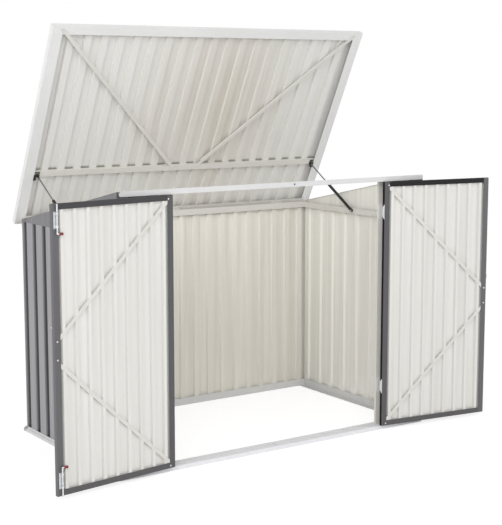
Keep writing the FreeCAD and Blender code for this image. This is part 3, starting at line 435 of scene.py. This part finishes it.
@dataclass(frozen=True, kw_only=True)
class LidCoat(CoilCoat):
    """Coil coat of the lid: with a painted warm shade towards the middle of its inner side, and a painted
    shadow behind its cross rail.
    """

    patch_place: Triple
    rail_way: Triple
    rail_edges: Pair
    patch_reach_mm: Triple = (620.0, 950.0, 950.0)
    patch_strength: float = 1.9
    patch_streaks: Pair = (0.3, 0.75)
    gap_colour: str = "#b2afa6"
    gap_fade_mm: float = 11.0
    gap_depths_mm: Pair = (9.0, 4.0)

    def inner_share(self, tree: Tree, place: Socket, streak: Socket) -> Socket:
        """Share of the warm painted shade: a soft round patch, broken up by the streaks.

        Args:
            tree: node tree of the material.
            place: object coordinates.
            streak: streaks of the coat.

        Returns:
            The socket that holds the share.
        """
        # Painted shade: a warm, darker patch over the middle of the lid's inner side
        scales = [per_metre(reach) for reach in self.patch_reach_mm]
        offset = add_node(tree, "ShaderNodeVectorMath", {0: place, 1: self.patch_place}, operation="SUBTRACT")
        spot = add_node(tree, "ShaderNodeVectorMath", {0: offset.outputs[0], 1: scales}, operation="MULTIPLY")
        shade_patch = add_node(
            tree, "ShaderNodeTexGradient", {"Vector": spot.outputs[0]}, gradient_type="SPHERICAL"
        )
        thin, full = self.patch_streaks
        drawn = add_node(tree, "ShaderNodeMapRange", {"Value": streak, "To Min": thin, "To Max": full})
        uneven = add_node(
            tree, "ShaderNodeMath", {0: shade_patch.outputs["Fac"], 1: drawn.outputs["Result"]},
            operation="MULTIPLY",
        )
        return add_node(
            tree, "ShaderNodeMath", {0: uneven.outputs[0], 1: self.patch_strength}, operation="MULTIPLY",
            use_clamp=True,
        ).outputs[0]

    def gap_shade(self, tree: Tree, place: Socket, height: Socket, colour: Socket) -> Socket:
        """Paint shadow into the valleys of the sheet under the cross rail, where no light gets in.

        Args:
            tree: node tree of the material.
            place: object coordinates.
            height: distance along the outward direction.
            colour: colour of the inner side.

        Returns:
            The socket that holds the colour with the painted shadow.
        """
        along = add_node(
            tree, "ShaderNodeVectorMath", {0: place, 1: self.rail_way}, operation="DOT_PRODUCT"
        ).outputs["Value"]
        low, high = self.rail_edges
        fade = self.gap_fade_mm * MM
        crest, valley = (self.face - depth * MM for depth in self.gap_depths_mm)
        # Painted shadow: full in the valleys just behind the cross rail, fading out past its edges and up
        # towards the crests
        share = 1.0
        for value, start, end in (
            (along, low - fade, low),
            (along, high + fade, high),
            (height, crest, valley),
        ):
            step = add_node(tree, "ShaderNodeMapRange", {"Value": value, "From Min": start, "From Max": end})
            share = add_node(
                tree, "ShaderNodeMath", {0: share, 1: step.outputs["Result"]}, operation="MULTIPLY"
            ).outputs[0]
        return add_node(
            tree, "ShaderNodeMix", {SHARE: share, FROM: colour, TO: linear(self.gap_colour)}, data_type="RGBA"
        ).outputs[MIXED]


@dataclass(frozen=True)
class ZincPlate:
    """Bright zinc-plated steel: grey metal with a faint patchwork of crystals and a soft, uneven shine."""

    name: str
    colour: str
    dull_colour: str
    roughness: float
    crystal_mm: float = 9.0
    gloss_swing: Pair = (-0.07, 0.1)

    def material(self) -> bpy.types.Material:
        """Build the node tree of the plating.

        Returns:
            The finished material.
        """
        material, tree = blank_material(self.name)
        place = add_node(tree, "ShaderNodeTexCoord").outputs["Object"]
        crystal = add_node(
            tree, "ShaderNodeTexVoronoi", {"Vector": place, "Scale": per_metre(self.crystal_mm)}
        )
        shade = add_node(tree, "ShaderNodeSeparateColor", {"Color": crystal.outputs["Color"]})
        tone = add_node(
            tree, "ShaderNodeMix",
            {SHARE: shade.outputs["Red"], FROM: linear(self.colour), TO: linear(self.dull_colour)},
            data_type="RGBA",
        )
        glossy, dull = (self.roughness + swing for swing in self.gloss_swing)
        gloss = add_node(
            tree, "ShaderNodeMapRange", {"Value": shade.outputs["Green"], "To Min": glossy, "To Max": dull}
        )
        shader = add_node(
            tree, "ShaderNodeBsdfPrincipled",
            {"Base Color": tone.outputs[MIXED], "Metallic": 1.0, "Roughness": gloss.outputs["Result"]},
        )
        add_node(tree, "ShaderNodeOutputMaterial", {"Surface": shader.outputs["BSDF"]})
        return material


@dataclass(frozen=True)
class MouldedPlastic:
    """Enamel, moulded plastic or rubber: an even colour with a fine grain.

    The grain is drawn coarser than the real one of a few tenths of a millimetre, so that it shows.
    """

    name: str
    colour: str
    worn_colour: str
    roughness: float
    ior: float = 1.48
    grain_mm: float = 1.5
    grain_depth_mm: float = 0.05
    grain_strength: float = 0.3
    grain_detail: float = 3.0

    def material(self) -> bpy.types.Material:
        """Build the node tree of the moulding.

        Returns:
            The finished material.
        """
        material, tree = blank_material(self.name)
        place = add_node(tree, "ShaderNodeTexCoord").outputs["Object"]
        grain = add_node(
            tree, "ShaderNodeTexNoise",
            {"Vector": place, "Scale": per_metre(self.grain_mm), "Detail": self.grain_detail},
        ).outputs["Fac"]
        tone = add_node(
            tree, "ShaderNodeMix",
            {SHARE: grain, FROM: linear(self.colour), TO: linear(self.worn_colour)}, data_type="RGBA",
        )
        bump = add_node(
            tree, "ShaderNodeBump",
            {"Strength": self.grain_strength, "Distance": self.grain_depth_mm * MM, "Height": grain},
        )
        shader = add_node(
            tree, "ShaderNodeBsdfPrincipled",
            {"Base Color": tone.outputs[MIXED], "Roughness": self.roughness, "Normal": bump.outputs["Normal"],
             "IOR": self.ior},
        )
        add_node(tree, "ShaderNodeOutputMaterial", {"Surface": shader.outputs["BSDF"]})
        return material


# Powder coats of the pale frame: an even satin white to cream, with broad soft lights on its folds; the
# sill's whiter copy paints light onto its shaded tread, and the pale grey copy paints shade onto the header
# and the side base rails
LIGHT = PowderCoat("off_white_powder_coat", "#e2e2e2", "#d9d9d8", 0.42)
SILL_LIT = PowderCoat("white_sill_coat", "#e8e8eb", "#e0e0e3", 0.42)
PALE_SHADE = PowderCoat("pale_grey_powder_coat", "#d7d7d7", "#cecece", 0.42)
CREAM = PowderCoat("cream_powder_coat", "#d9d7d2", "#cfccc5", 0.45)

# Powder coats of the dark frame: anthracite, with duller and deeper copies on the doors' bottom and top
# rails, which paint shade onto them
DARK = PowderCoat("anthracite_powder_coat", "#565557", "#5e5d5f", 0.4)
FOOT_SHADE = PowderCoat("anthracite_foot_rail_coat", "#494849", "#515052", 0.4)
HEAD_SHADE = PowderCoat("anthracite_head_rail_coat", "#3e3d3f", "#474648", 0.5, shine=0.2)
DEEP_SHADE = PowderCoat("deep_anthracite_powder_coat", "#222123", "#2a292b", 0.55, shine=0.12)

# Outer sides of the sheets: mid grey with long, faint streaks; the nearly black on the hinge edge of a door
# is painted shade
GREY = Outside("#88878a", "#919093")
SLATE = Outside("#666568", "#6e6d70")
HINGE_EDGE_SHADE = Outside("#19181a", "#1f1e20")

# Inner sides of the sheets: warm white, with painted light and shade on the bends of the ribs
# The walls' whites are brighter copies of one cream that paint light into the shaded inside; the doors' and
# the lid's are deeper copies that paint shade
SIDE_INSIDE = Inside("#ecebe5", "#e2e0d9", "#f4f2ec")
BACK_INSIDE = Inside("#eeebe3", "#e4e0d6", "#ebe7df")
# The lid's marked colour is the warm painted shade over the middle of its inner side
LID_INSIDE = Inside("#dddcd8", "#cdc7bd", "#d9d7d1", "#cfcdc7")
DOOR_INSIDE = Inside("#dfdeda", "#d8d6d1", "#cac9c5")
STILE_INSIDE = Inside("#5e5d5f", "#656466", "#5e5d5f")

# Plated and ground steel: grey metal that mirrors the studio softly
ZINC = ZincPlate("bright_zinc_plate", "#e0e1e2", "#c9cbcd", 0.38)
STEEL = ZincPlate("ground_steel_rod", "#8b8c8e", "#808184", 0.22, crystal_mm=3.0)

# Enamel and vinyl: a deep even colour with a clear highlight
BLACK = MouldedPlastic("black_enamel", "#141414", "#1d1d1d", 0.3)
RED = MouldedPlastic("dark_red_vinyl", "#6d1a18", "#7c2320", 0.38)

Finish = PowderCoat | ZincPlate | MouldedPlastic


def made(finish: Finish) -> bpy.types.Material:
    """Material of a finish, which is made once and shared."""
    return bpy.data.materials.get(finish.name) or finish.material()


def dress(finish: Finish, *nodes: str) -> None:
    """Give CAD nodes one finish.

    Args:
        finish: finish of the nodes.
        nodes: names of the nodes.
    """
    for node in nodes:
        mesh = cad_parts[node].data
        mesh.materials.clear()
        mesh.materials.append(made(finish))
        LOG.info("%s dressed in %s", node, finish.name)


def add_piece(bm: bmesh.types.BMesh, name: str, finish: Finish, body: str) -> None:
    """Close a mesh, dress it and let it ride on a body.

    Args:
        bm: mesh of the piece, which is freed.
        name: name of the piece.
        finish: finish of the piece.
        body: body that carries it.
    """
    bmesh.ops.remove_doubles(bm, verts=bm.verts, dist=MERGE_DISTANCE)
    bmesh.ops.recalc_face_normals(bm, faces=bm.faces)
    for face in bm.faces:
        face.smooth = True
    mesh = bpy.data.meshes.new(name)
    bm.to_mesh(mesh)
    bm.free()
    mesh.materials.append(made(finish))
    piece = bpy.data.objects.new(name, mesh)
    bpy.context.scene.collection.objects.link(piece)
    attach(piece, body)
    LOG.info("%s rides on %s", name, body)


def spin_outline(bm: bmesh.types.BMesh, outline: Sequence[Pair], seat: Seat, steps: int) -> None:
    """Turn a half section round an axis.

    Args:
        bm: mesh that takes the turned shape.
        outline: radius and height of each corner in millimetres.
        seat: foot and direction of the axis, in metres.
        steps: number of sides.
    """
    foot, way = seat
    stand = Matrix.Translation(foot) @ way.to_track_quat("Z", "Y").to_matrix().to_4x4()
    corners = [bm.verts.new(stand @ Vector((radius * MM, 0.0, height * MM))) for radius, height in outline]
    edges = [bm.edges.new(pair) for pair in zip(corners, corners[1:])]
    bmesh.ops.spin(
        bm, geom=corners + edges, cent=foot, axis=way, dvec=(0.0, 0.0, 0.0), angle=FULL_TURN, steps=steps,
        use_merge=True, use_duplicate=False,
    )


@dataclass(frozen=True)
class ScrewHead:
    """Low rounded head of a screw or rivet, with a driven hollow in its top.

    The dome gives the share of the radius and of the height at each corner, from the rim to the hollow.
    """

    radius_mm: float
    height_mm: float
    sunk_mm: float = 0.2
    steps: int = 14
    dome: tuple[Pair, ...] = ((1.0, 0.35), (0.8, 0.8), (0.35, 1.0), (0.25, 1.0), (0.0, 0.55))

    def add(self, bm: bmesh.types.BMesh, seat: Seat) -> None:
        """Add one head to a mesh.

        Args:
            bm: mesh that takes the head.
            seat: spot on the surface and direction away from it.
        """
        outline = [(0.0, -self.sunk_mm), (self.radius_mm, -self.sunk_mm)]
        outline += [(wide * self.radius_mm, tall * self.height_mm) for wide, tall in self.dome]
        spin_outline(bm, outline, seat, self.steps)

    def build(self, name: str, finish: Finish, body: str, slot: str, seats: list[Seat]) -> None:
        """Make all the heads of one kind on one body.

        Args:
            name: name of the piece that holds them.
            finish: finish of the heads.
            body: body that carries them.
            slot: name of a material slot; not used.
            seats: spot and direction of each head.
        """
        bm = bmesh.new()
        for seat in seats:
            self.add(bm, seat)
        add_piece(bm, name, finish, body)


SHEET_SCREW = ScrewHead(3.6, 1.8)
HEADER_SCREW = ScrewHead(4.6, 2.2)
LID_BRACE_BOLT = ScrewHead(5.0, 1.3)
BRACKET_SCREW = ScrewHead(3.2, 1.8)
DOOR_BRACE_BOLT = ScrewHead(4.8, 2.4)
STILE_SCREW = ScrewHead(3.4, 1.6)
HINGE_RIVET = ScrewHead(3.0, 0.8)
PLATE_SCREW = ScrewHead(2.6, 1.3)
HASP_SCREW = ScrewHead(3.2, 1.6)


@dataclass(frozen=True)
class Row:
    """Evenly spread places, in millimetres."""

    first: float
    last: float
    count: int

    def places(self) -> list[float]:
        """Each place, from the first to the last."""
        return [self.first + (self.last - self.first) * i / (self.count - 1) for i in range(self.count)]


def at(across: float, back: float, up: float) -> Vector:
    """Point of the shed, from millimetres."""
    return Vector((across, back, up)) * MM


@dataclass
class Shed:
    """Fixed walls, posts, rails and base of the shed."""

    coat_roughness: float = 0.2
    wall_face: float = 985.0
    gable_face: float = 985.5
    back_face: float = 552.5
    front_face: float = 553.6
    groove_floor: float = 971.5
    groove_row: Row = Row(-449.5, 518.5, 9)
    groove_levels: Pair = (36.0, 1187.0)
    header_face: float = 567.5
    header_middle: float = 1431.5
    header_screw: float = 72.0
    back_rail_face: float = 559.5
    back_rail_screws: float = 1188.0
    back_rail_row: Row = Row(-945.0, 945.0, 10)
    post_face: float = 554.8
    post_screws: float = 962.5
    post_row: Row = Row(90.0, 1350.0, 6)
    corner_screws: float = 970.0
    corner_row: Row = Row(90.0, 1140.0, 5)
    rebate_face: float = 528.7
    rebate_screws: float = 698.0
    hinge_levels: Pair = DOOR_HINGE_LEVELS
    hinge_rises: Triple = (14.0, 41.5, 69.0)
    lid_hinge_spacing: float = LID_HINGE_SPACING
    lid_leaf_face: float = 561.0
    lid_leaf_screws: float = 1180.0
    lid_leaf_offset: float = LID_LEAF_OFFSET
    bracket_face: float = 948.2
    bracket_place: Pair = STRUT_FOOT
    bracket_offsets: Pair = (12.0, 13.0)

    def dress(self) -> None:
        """Give each fixed node its finish."""
        # Painted light and shade: the sill takes a whiter copy of the white coat, the side base rails and the
        # header a greyer one
        dress(SILL_LIT, "base_front_sill")
        dress(LIGHT, "base_back_rail", "door_hinge_post_leaves")
        dress(PALE_SHADE, "base_left_rail", "base_right_rail", "header_rail")
        dress(
            CREAM, "left_door_post", "right_door_post", "back_top_rail", "left_top_rail", "right_top_rail",
            "back_corner_angles", "strut_wall_brackets", "lid_hinge_fixed_leaves",
        )
        for side in Side:
            outward = (float(side.value), 0.0, 0.0)
            for piece, face, grey in (
                ("wall_panel", self.wall_face, GREY),
                ("gable", self.gable_face, SLATE),
            ):
                name = f"{side.word}_{piece}"
                dress(self.sheet(name, outward, face, grey), name)
        dress(self.sheet("back_wall_panel", tuple(BACK), self.back_face, GREY), "back_wall_panel")
        front = self.sheet("front_panel", tuple(FRONT), self.front_face, GREY)
        dress(front, "front_left_panel", "front_right_panel")
        dress(DARK, "front_left_post", "front_right_post")
        dress(ZINC, "lid_hinge_pins", "door_hinge_pins")

    def sheet(self, name: str, outward: Triple, face: float, grey: Outside) -> CoilCoat:
        """Two-sided coat of one wall.

        Args:
            name: name of the wall.
            outward: direction away from the inside.
            face: distance of the outer face from the origin, in millimetres.
            grey: colours of the outer side.

        Returns:
            The finish of that wall.
        """
        sideways, lengthways, upright = outward
        return CoilCoat(
            f"{name}_coil_coat", grey.colour, grey.marked, self.coat_roughness,
            inside=SIDE_INSIDE if sideways else BACK_INSIDE, outward=outward, face=face * MM,
            across=(abs(lengthways), abs(sideways), abs(upright)),
        )

    def fix(self) -> None:
        """Set the screws of the walls, rails, posts and hinges."""
        painted, plated, cream = [], [], []
        for side in Side:
            sign = side.value
            outward = Vector((sign, 0.0, 0.0))
            painted += [
                (at(sign * self.groove_floor, y, z), outward)
                for y in self.groove_row.places() for z in self.groove_levels
            ]
            painted += [
                (at(sign * self.post_screws, -self.post_face, z), FRONT) for z in self.post_row.places()
            ]
            painted += [
                (at(sign * self.corner_screws, self.back_face, z), BACK) for z in self.corner_row.places()
            ]
            plated += [
                (at(sign * self.rebate_screws, -self.rebate_face, level + rise), FRONT)
                for level in self.hinge_levels for rise in self.hinge_rises
            ]
            y, z = self.bracket_place
            back, up = self.bracket_offsets
            cream += [
                (at(sign * self.bracket_face, y + j * back, z + k * up), -outward)
                for j in (-1, 1) for k in (-1, 1)
            ]
        cream += [
            (at(x, self.back_rail_face, self.back_rail_screws), BACK) for x in self.back_rail_row.places()
        ]
        leaves = [
            i * self.lid_hinge_spacing + j * self.lid_leaf_offset for i in (-1, 0, 1) for j in (-1, 0, 1)
        ]
        cream += [(at(x, self.lid_leaf_face, self.lid_leaf_screws), BACK) for x in leaves]
        SHEET_SCREW.build("wall_screws", DARK, "shed", "dark_paint", painted)
        SHEET_SCREW.build("rail_screws", CREAM, "shed", "light_paint", cream)
        SHEET_SCREW.build("post_hinge_screws", ZINC, "shed", "zinc_steel", plated)
        dot = (at(self.header_screw, -self.header_face, self.header_middle), FRONT)
        HEADER_SCREW.build("header_screw", BLACK, "shed", "black_steel", [dot])


@dataclass
class Lid:
    """Hinged lid with its frame, panel, braces and strut brackets."""

    coat_roughness: float = 0.2
    streak_mm: float = 48.0
    open_angle: float = 62.97
    axis_back: float = 563.0
    axis_up: float = 1207.0
    top: float = 33.5
    panel_face: float = 32.3
    groove: float = 12.0
    half_width: float = 1017.5
    front: float = 1171.0
    back: float = -30.0
    cap_middle: float = 11.0
    cap_row: Row = Row(-950.0, 950.0, 11)
    edge_row: Row = Row(90.0, 1050.0, 6)
    brace_under: float = 2.3
    brace_ends: tuple[Pair, Pair] = ((962.0, 1155.0), (80.0, 293.0))
    bracket_under: float = 1.0
    bracket_across: float = 951.8
    bracket_screws: Pair = (258.0, 275.0)
    leaf_under: float = 2.0
    leaf_screws: float = 10.0
    leaf_offset: float = LID_LEAF_OFFSET
    hinge_spacing: float = LID_HINGE_SPACING
    # Middle of the warm painted shade on the inner side of the lid
    patch_middle: Pair = (120.0, 660.0)
    cross_rail_edges: Pair = (272.0, 305.0)

    def spot(self, across: float, along: float, out: float) -> Vector:
        """Point of the raised lid.

        Args:
            across: distance to the right of the middle, in millimetres.
            along: distance from the hinge axis towards the front edge.
            out: distance from the axis towards the outside.

        Returns:
            The point in metres.
        """
        axis = at(across, self.axis_back, self.axis_up)
        return axis + (self.frontward() * along + self.outward() * out) * MM

    def outward(self) -> Vector:
        """Direction away from the inside of the raised lid."""
        turn = math.radians(self.open_angle)
        return Vector((0.0, math.sin(turn), math.cos(turn)))

    def frontward(self) -> Vector:
        """Direction from the hinge towards the front edge of the raised lid."""
        turn = math.radians(self.open_angle)
        return Vector((0.0, -math.cos(turn), math.sin(turn)))

    def dress(self) -> None:
        """Give each lid node its finish."""
        outward, frontward = self.outward(), self.frontward()
        sheet = LidCoat(
            "lid_coil_coat", GREY.colour, GREY.marked, self.coat_roughness,
            inside=LID_INSIDE, outward=tuple(outward), groove_mm=self.groove, streak_mm=self.streak_mm,
            face=self.spot(0.0, 0.0, self.panel_face).dot(outward),
            patch_place=tuple(self.spot(*self.patch_middle, self.panel_face)),
            rail_way=tuple(frontward),
            rail_edges=tuple(self.spot(0.0, edge, 0.0).dot(frontward) for edge in self.cross_rail_edges),
        )
        dress(sheet, "lid_panel")
        dress(LIGHT, "lid_front_rail", "lid_left_rail", "lid_right_rail")
        dress(CREAM, "lid_back_rail", "lid_cross_rail", "lid_braces", "lid_hinge_moving_leaves")
        dress(BLACK, "strut_lid_brackets")

    def fix(self) -> None:
        """Set the screws of the lid's frame, braces, hinges and strut brackets."""
        outward, inward = self.outward(), -self.outward()
        ends = (self.front - self.cap_middle, self.back + self.cap_middle)
        edge = self.half_width - self.cap_middle
        caps = [(self.spot(x, s, self.top), outward) for x in self.cap_row.places() for s in ends]
        caps += [(self.spot(x, s, self.top), outward) for x in (-edge, edge) for s in self.edge_row.places()]
        leaves = [i * self.hinge_spacing + j * self.leaf_offset for i in (-1, 0, 1) for j in (-1, 1)]
        caps += [(self.spot(x, self.leaf_screws, self.leaf_under), inward) for x in leaves]
        SHEET_SCREW.build("lid_frame_screws", LIGHT, "lid", "light_paint", caps)
        braces, brackets = [], []
        for side in Side:
            sign = side.value
            braces += [(self.spot(sign * x, s, self.brace_under), inward) for x, s in self.brace_ends]
            brackets += [
                (self.spot(sign * self.bracket_across, s, self.bracket_under), inward)
                for s in self.bracket_screws
            ]
        LID_BRACE_BOLT.build("lid_brace_bolts", ZINC, "lid", "zinc_steel", braces)
        BRACKET_SCREW.build("strut_bracket_screws", BLACK, "lid", "black_steel", brackets)


@dataclass
class Door:
    """One of the two front doors, folded back against the front."""

    side: Side
    coat_roughness: float = 0.42
    stile_roughness: float = 0.5
    stile_shine: float = 0.05
    open_angle: float = 172.3
    pin_across: float = 700.5
    pin_back: float = -558.0
    edge_lap: float = 13.0
    inner: float = 23.8
    outer: float = 3.8
    panel_face: float = 10.4
    groove: float = 11.0
    edge_plate: float = -1.2
    hinge_levels: Pair = DOOR_HINGE_LEVELS
    rivet_rises: Pair = (24.0, 59.0)
    brace_bolts: tuple[Pair, ...] = ((28.0, 1397.0), (28.0, 36.0), (694.6, 770.0), (694.6, 682.0))
    stile_middles: Pair = (16.5, 693.0)
    stile_row: Row = Row(80.0, 1350.0, 5)

    def turn(self) -> Matrix:
        """Turn from the closed to the photographed place."""
        return Matrix.Rotation(math.radians(self.side.value * self.open_angle), 3, "Z")

    def spot(self, out: float, deep: float, up: float) -> Vector:
        """Point of the opened door.

        Args:
            out: distance from the hinge edge, in millimetres.
            deep: distance from the pin's plane towards the inner face.
            up: height over the ground.

        Returns:
            The point in metres.
        """
        side = self.side.value
        flat = Vector((side * (self.edge_lap - out), deep, up))
        return (self.turn() @ flat + Vector((side * self.pin_across, self.pin_back, 0.0))) * MM

    def inward(self) -> Vector:
        """Direction that the inner face looks in."""
        return self.turn() @ BACK

    def edgeward(self) -> Vector:
        """Direction that the hinge edge looks in."""
        return self.turn() @ Vector((self.side.value, 0.0, 0.0))

    def dress(self) -> None:
        """Give each door node its finish."""
        name = f"{self.side.word}_door"
        outward = -self.inward()
        sheet = CoilCoat(
            f"{name}_coil_coat", GREY.colour, GREY.marked, self.coat_roughness,
            inside=DOOR_INSIDE, outward=tuple(outward), groove_mm=self.groove,
            face=self.spot(0.0, self.panel_face, 0.0).dot(outward),
        )
        dress(sheet, f"{name}_panel")
        # Painted shade: the faces of the hinge stile that look towards its hinge edge, and its grooves, are
        # nearly black
        stile = CoilCoat(
            f"{name}_stile_coat", HINGE_EDGE_SHADE.colour, HINGE_EDGE_SHADE.marked, self.stile_roughness, self.stile_shine,
            inside=STILE_INSIDE, outward=tuple(self.edgeward()), groove_colour=HINGE_EDGE_SHADE.colour,
        )
        dress(stile, f"{name}_hinge_stile")
        dress(DARK, f"{name}_free_stile")
        # Painted shade: the bottom and top rails take darker copies of the anthracite, the right door's top
        # rail the darkest
        dress(FOOT_SHADE, f"{name}_bottom_rail")
        dress(HEAD_SHADE if self.side is Side.LEFT else DEEP_SHADE, f"{name}_top_rail")
        dress(CREAM, f"{name}_braces")
        dress(LIGHT, f"{name}_hinge_leaves")

    def fix(self) -> None:
        """Set the bolts of the braces, the screws of the stiles and the rivets of the hinge plates."""
        name, inward, edgeward = f"{self.side.word}_door", self.inward(), self.edgeward()
        bolts = [(self.spot(out, self.inner, up), inward) for out, up in self.brace_bolts]
        DOOR_BRACE_BOLT.build(f"{name}_brace_bolts", ZINC, name, "zinc_steel", bolts)
        stiles = [
            (self.spot(out, self.outer, up), -inward)
            for out in self.stile_middles for up in self.stile_row.places()
        ]
        STILE_SCREW.build(f"{name}_stile_screws", DARK, name, "dark_paint", stiles)
        middle = (self.inner + self.outer) / 2
        rivets = [
            (self.spot(self.edge_plate, middle, level + rise), edgeward)
            for level in self.hinge_levels for rise in self.rivet_rises
        ]
        HINGE_RIVET.build(f"{name}_hinge_rivets", ZINC, name, "zinc_steel", rivets)


@dataclass
class Ironmongery:
    """Struts, bolts and hasp.

    The outlines of the socket and its collar give the radius and the height of each corner.
    """

    strut_across: float = 936.0
    strut_foot: Pair = STRUT_FOOT
    strut_length: float = 495.449
    strut_angle: float = 32.2292
    socket_steps: int = 28
    socket_outline: tuple[Pair, ...] = (
        (7.7, -6.0), (8.3, -6.0), (8.7, -5.4), (8.7, 5.8), (8.0, 6.5), (0.0, 6.5), (0.0, 6.1), (7.7, 5.7),
        (7.7, -6.0),
    )
    collar_steps: int = 20
    collar_outline: tuple[Pair, ...] = (
        (4.05, -14.2), (5.0, -14.2), (5.8, -12.6), (6.0, -6.5), (4.05, -6.5), (4.05, -14.2),
    )
    plate_screws: tuple[float, ...] = (68.0, 100.0, 132.0, 1308.0, 1340.0, 1372.0)
    plate_out: float = 698.0
    plate_face: float = 25.3
    hasp_screws: Pair = (675.0, 695.0)
    hasp_height: float = 834.0
    hasp_face: float = 1.8

    def dress(self) -> None:
        """Give the struts, bolts and hasp their finishes."""
        for side in Side:
            dress(BLACK, f"{side.word}_strut_cylinder")
            dress(STEEL, f"{side.word}_strut_rod")
        dress(ZINC, "bolt_guides", "door_lock_stud", "door_hasp", "top_bolt_rod", "bottom_bolt_rod")
        dress(RED, "top_bolt_sleeve", "bottom_bolt_sleeve")

    def fix(self) -> None:
        """Set the sockets on the strut ends and the screws of the bolt plates and the hasp."""
        for side in Side:
            self.end_socket(side)
        left, right = Door(Side.LEFT), Door(Side.RIGHT)
        plates = [
            (left.spot(self.plate_out, self.plate_face, up), left.inward()) for up in self.plate_screws
        ]
        PLATE_SCREW.build("bolt_plate_screws", ZINC, "left_door", "zinc_steel", plates)
        strap = [
            (right.spot(out, self.hasp_face, self.hasp_height), -right.inward()) for out in self.hasp_screws
        ]
        HASP_SCREW.build("hasp_screws", ZINC, "right_door", "zinc_steel", strap)

    def end_socket(self, side: Side) -> None:
        """Make the black socket round the eye of a strut rod, with its collar on the rod.

        Args:
            side: side of the strut.
        """
        lean = math.radians(self.strut_angle)
        along = Vector((0.0, math.cos(lean), math.sin(lean)))
        across = Vector((-side.value, 0.0, 0.0))
        foot = at(side.value * self.strut_across, *self.strut_foot)
        eye = foot + along * self.strut_length * MM
        bm = bmesh.new()
        spin_outline(bm, self.socket_outline, (eye, across), self.socket_steps)
        spin_outline(bm, self.collar_outline, (eye, along), self.collar_steps)
        add_piece(bm, f"{side.word}_strut_socket", BLACK, f"{side.word}_strut_rod")


@dataclass(frozen=True)
class Lamp:
    """Square soft lamp that points at the middle of the shed: place and width in metres, power in watts."""

    name: str
    place: Triple
    width: float
    power: float

    def hang(self) -> None:
        """Hang the lamp in the studio."""
        data = bpy.data.lights.new(self.name, "AREA")
        data.size = self.width
        data.energy = self.power
        lamp = bpy.data.objects.new(self.name, data)
        bpy.context.scene.collection.objects.link(lamp)
        low, high = CAD_BOX
        aim = (low + high) / 2 - Vector(self.place)
        lamp.location = self.place
        lamp.rotation_euler = aim.to_track_quat("-Z", "Y").to_euler()


@dataclass
class Studio:
    """White floor, soft light and the camera at the photograph's angle."""

    camera_place: Triple = (-3.931, -6.0055, 1.991)
    azimuth: float = -34.401
    pitch: float = -8.238
    lens_mm: float = 87.72
    sensor_mm: float = 36.0
    floor_half: float = 30.0
    floor_colour: str = "#f2f2f2"
    shadow_colour: str = "#b0b0b0"
    floor_glow: float = 0.7
    sky: float = 0.69
    lamps: tuple[Lamp, ...] = (
        Lamp("key_lamp", (-4.0, -6.0, 4.7), 4.5, 192.0),
        Lamp("side_lamp", (-5.9, -2.2, 3.4), 3.0, 106.0),
        Lamp("fill_lamp", (4.2, -4.6, 2.6), 3.0, 40.0),
    )

    def build(self) -> None:
        """Make the camera, the floor, the sky and the lamps."""
        self.add_camera()
        self.add_floor()
        self.add_sky()
        for lamp in self.lamps:
            lamp.hang()

    def add_camera(self) -> None:
        """Stand the camera where the photograph was taken from."""
        data = bpy.data.cameras.new("photo_camera")
        data.lens = self.lens_mm
        data.sensor_width = self.sensor_mm
        camera = bpy.data.objects.new("photo_camera", data)
        bpy.context.scene.collection.objects.link(camera)
        turn, dip = math.radians(-self.azimuth), math.radians(self.pitch)
        gaze = Vector((math.sin(turn) * math.cos(dip), math.cos(turn) * math.cos(dip), math.sin(dip)))
        camera.location = self.camera_place
        camera.rotation_euler = gaze.to_track_quat("-Z", "Y").to_euler()
        bpy.context.scene.camera = camera

    def sees_white(self, tree: Tree) -> Socket:
        """Add nodes that are one for rays of the eye, of reflections and through glass.

        Args:
            tree: node tree of the floor or the sky.

        Returns:
            The socket that holds that number.
        """
        path = add_node(tree, "ShaderNodeLightPath")
        most = path.outputs[Ray.CAMERA.value]
        for ray in (Ray.GLOSSY, Ray.TRANSMISSION):
            both = {0: most, 1: path.outputs[ray.value]}
            most = add_node(tree, "ShaderNodeMath", both, operation="MAXIMUM").outputs[0]
        return most

    def add_floor(self) -> None:
        """Lay a pale floor that stays white to the eye and keeps the soft shadow."""
        bm = bmesh.new()
        bmesh.ops.create_grid(bm, x_segments=1, y_segments=1, size=self.floor_half)
        mesh = bpy.data.meshes.new("studio_floor")
        bm.to_mesh(mesh)
        bm.free()
        floor = bpy.data.objects.new("studio_floor", mesh)
        bpy.context.scene.collection.objects.link(floor)
        material, tree = blank_material("white_floor")
        plain = add_node(tree, "ShaderNodeBsdfDiffuse", {"Color": linear(self.floor_colour)})
        shaded = add_node(tree, "ShaderNodeBsdfDiffuse", {"Color": linear(self.shadow_colour)})
        glow = add_node(tree, "ShaderNodeEmission", {"Color": WHITE, "Strength": self.floor_glow})
        bright = add_node(tree, "ShaderNodeAddShader", {0: shaded.outputs[0], 1: glow.outputs[0]})
        either = add_node(
            tree, "ShaderNodeMixShader", {0: self.sees_white(tree), 1: plain.outputs[0], 2: bright.outputs[0]}
        )
        add_node(tree, "ShaderNodeOutputMaterial", {"Surface": either.outputs[0]})
        mesh.materials.append(material)

    def add_sky(self) -> None:
        """Surround the shed with even light, white to the eye."""
        world = bpy.data.worlds.new("studio_sky")
        world.use_nodes = True
        tree = world.node_tree
        tree.nodes.clear()
        strength = add_node(
            tree, "ShaderNodeMapRange", {"Value": self.sees_white(tree), "To Min": self.sky, "To Max": 1.0}
        )
        light = add_node(
            tree, "ShaderNodeBackground", {"Color": WHITE, "Strength": strength.outputs["Result"]}
        )
        add_node(tree, "ShaderNodeOutputWorld", {"Surface": light.outputs["Background"]})
        bpy.context.scene.world = world


def main() -> None:
    """Dress the shed, build its fixings and set up the studio."""
    logging.basicConfig(level=logging.INFO, format="%(message)s")
    for assembly in (Shed(), Lid(), Door(Side.LEFT), Door(Side.RIGHT), Ironmongery()):
        assembly.dress()
        assembly.fix()
    Studio().build()
    bpy.context.scene.view_settings.view_transform = "Standard"


if __name__ == "__main__":
    main()
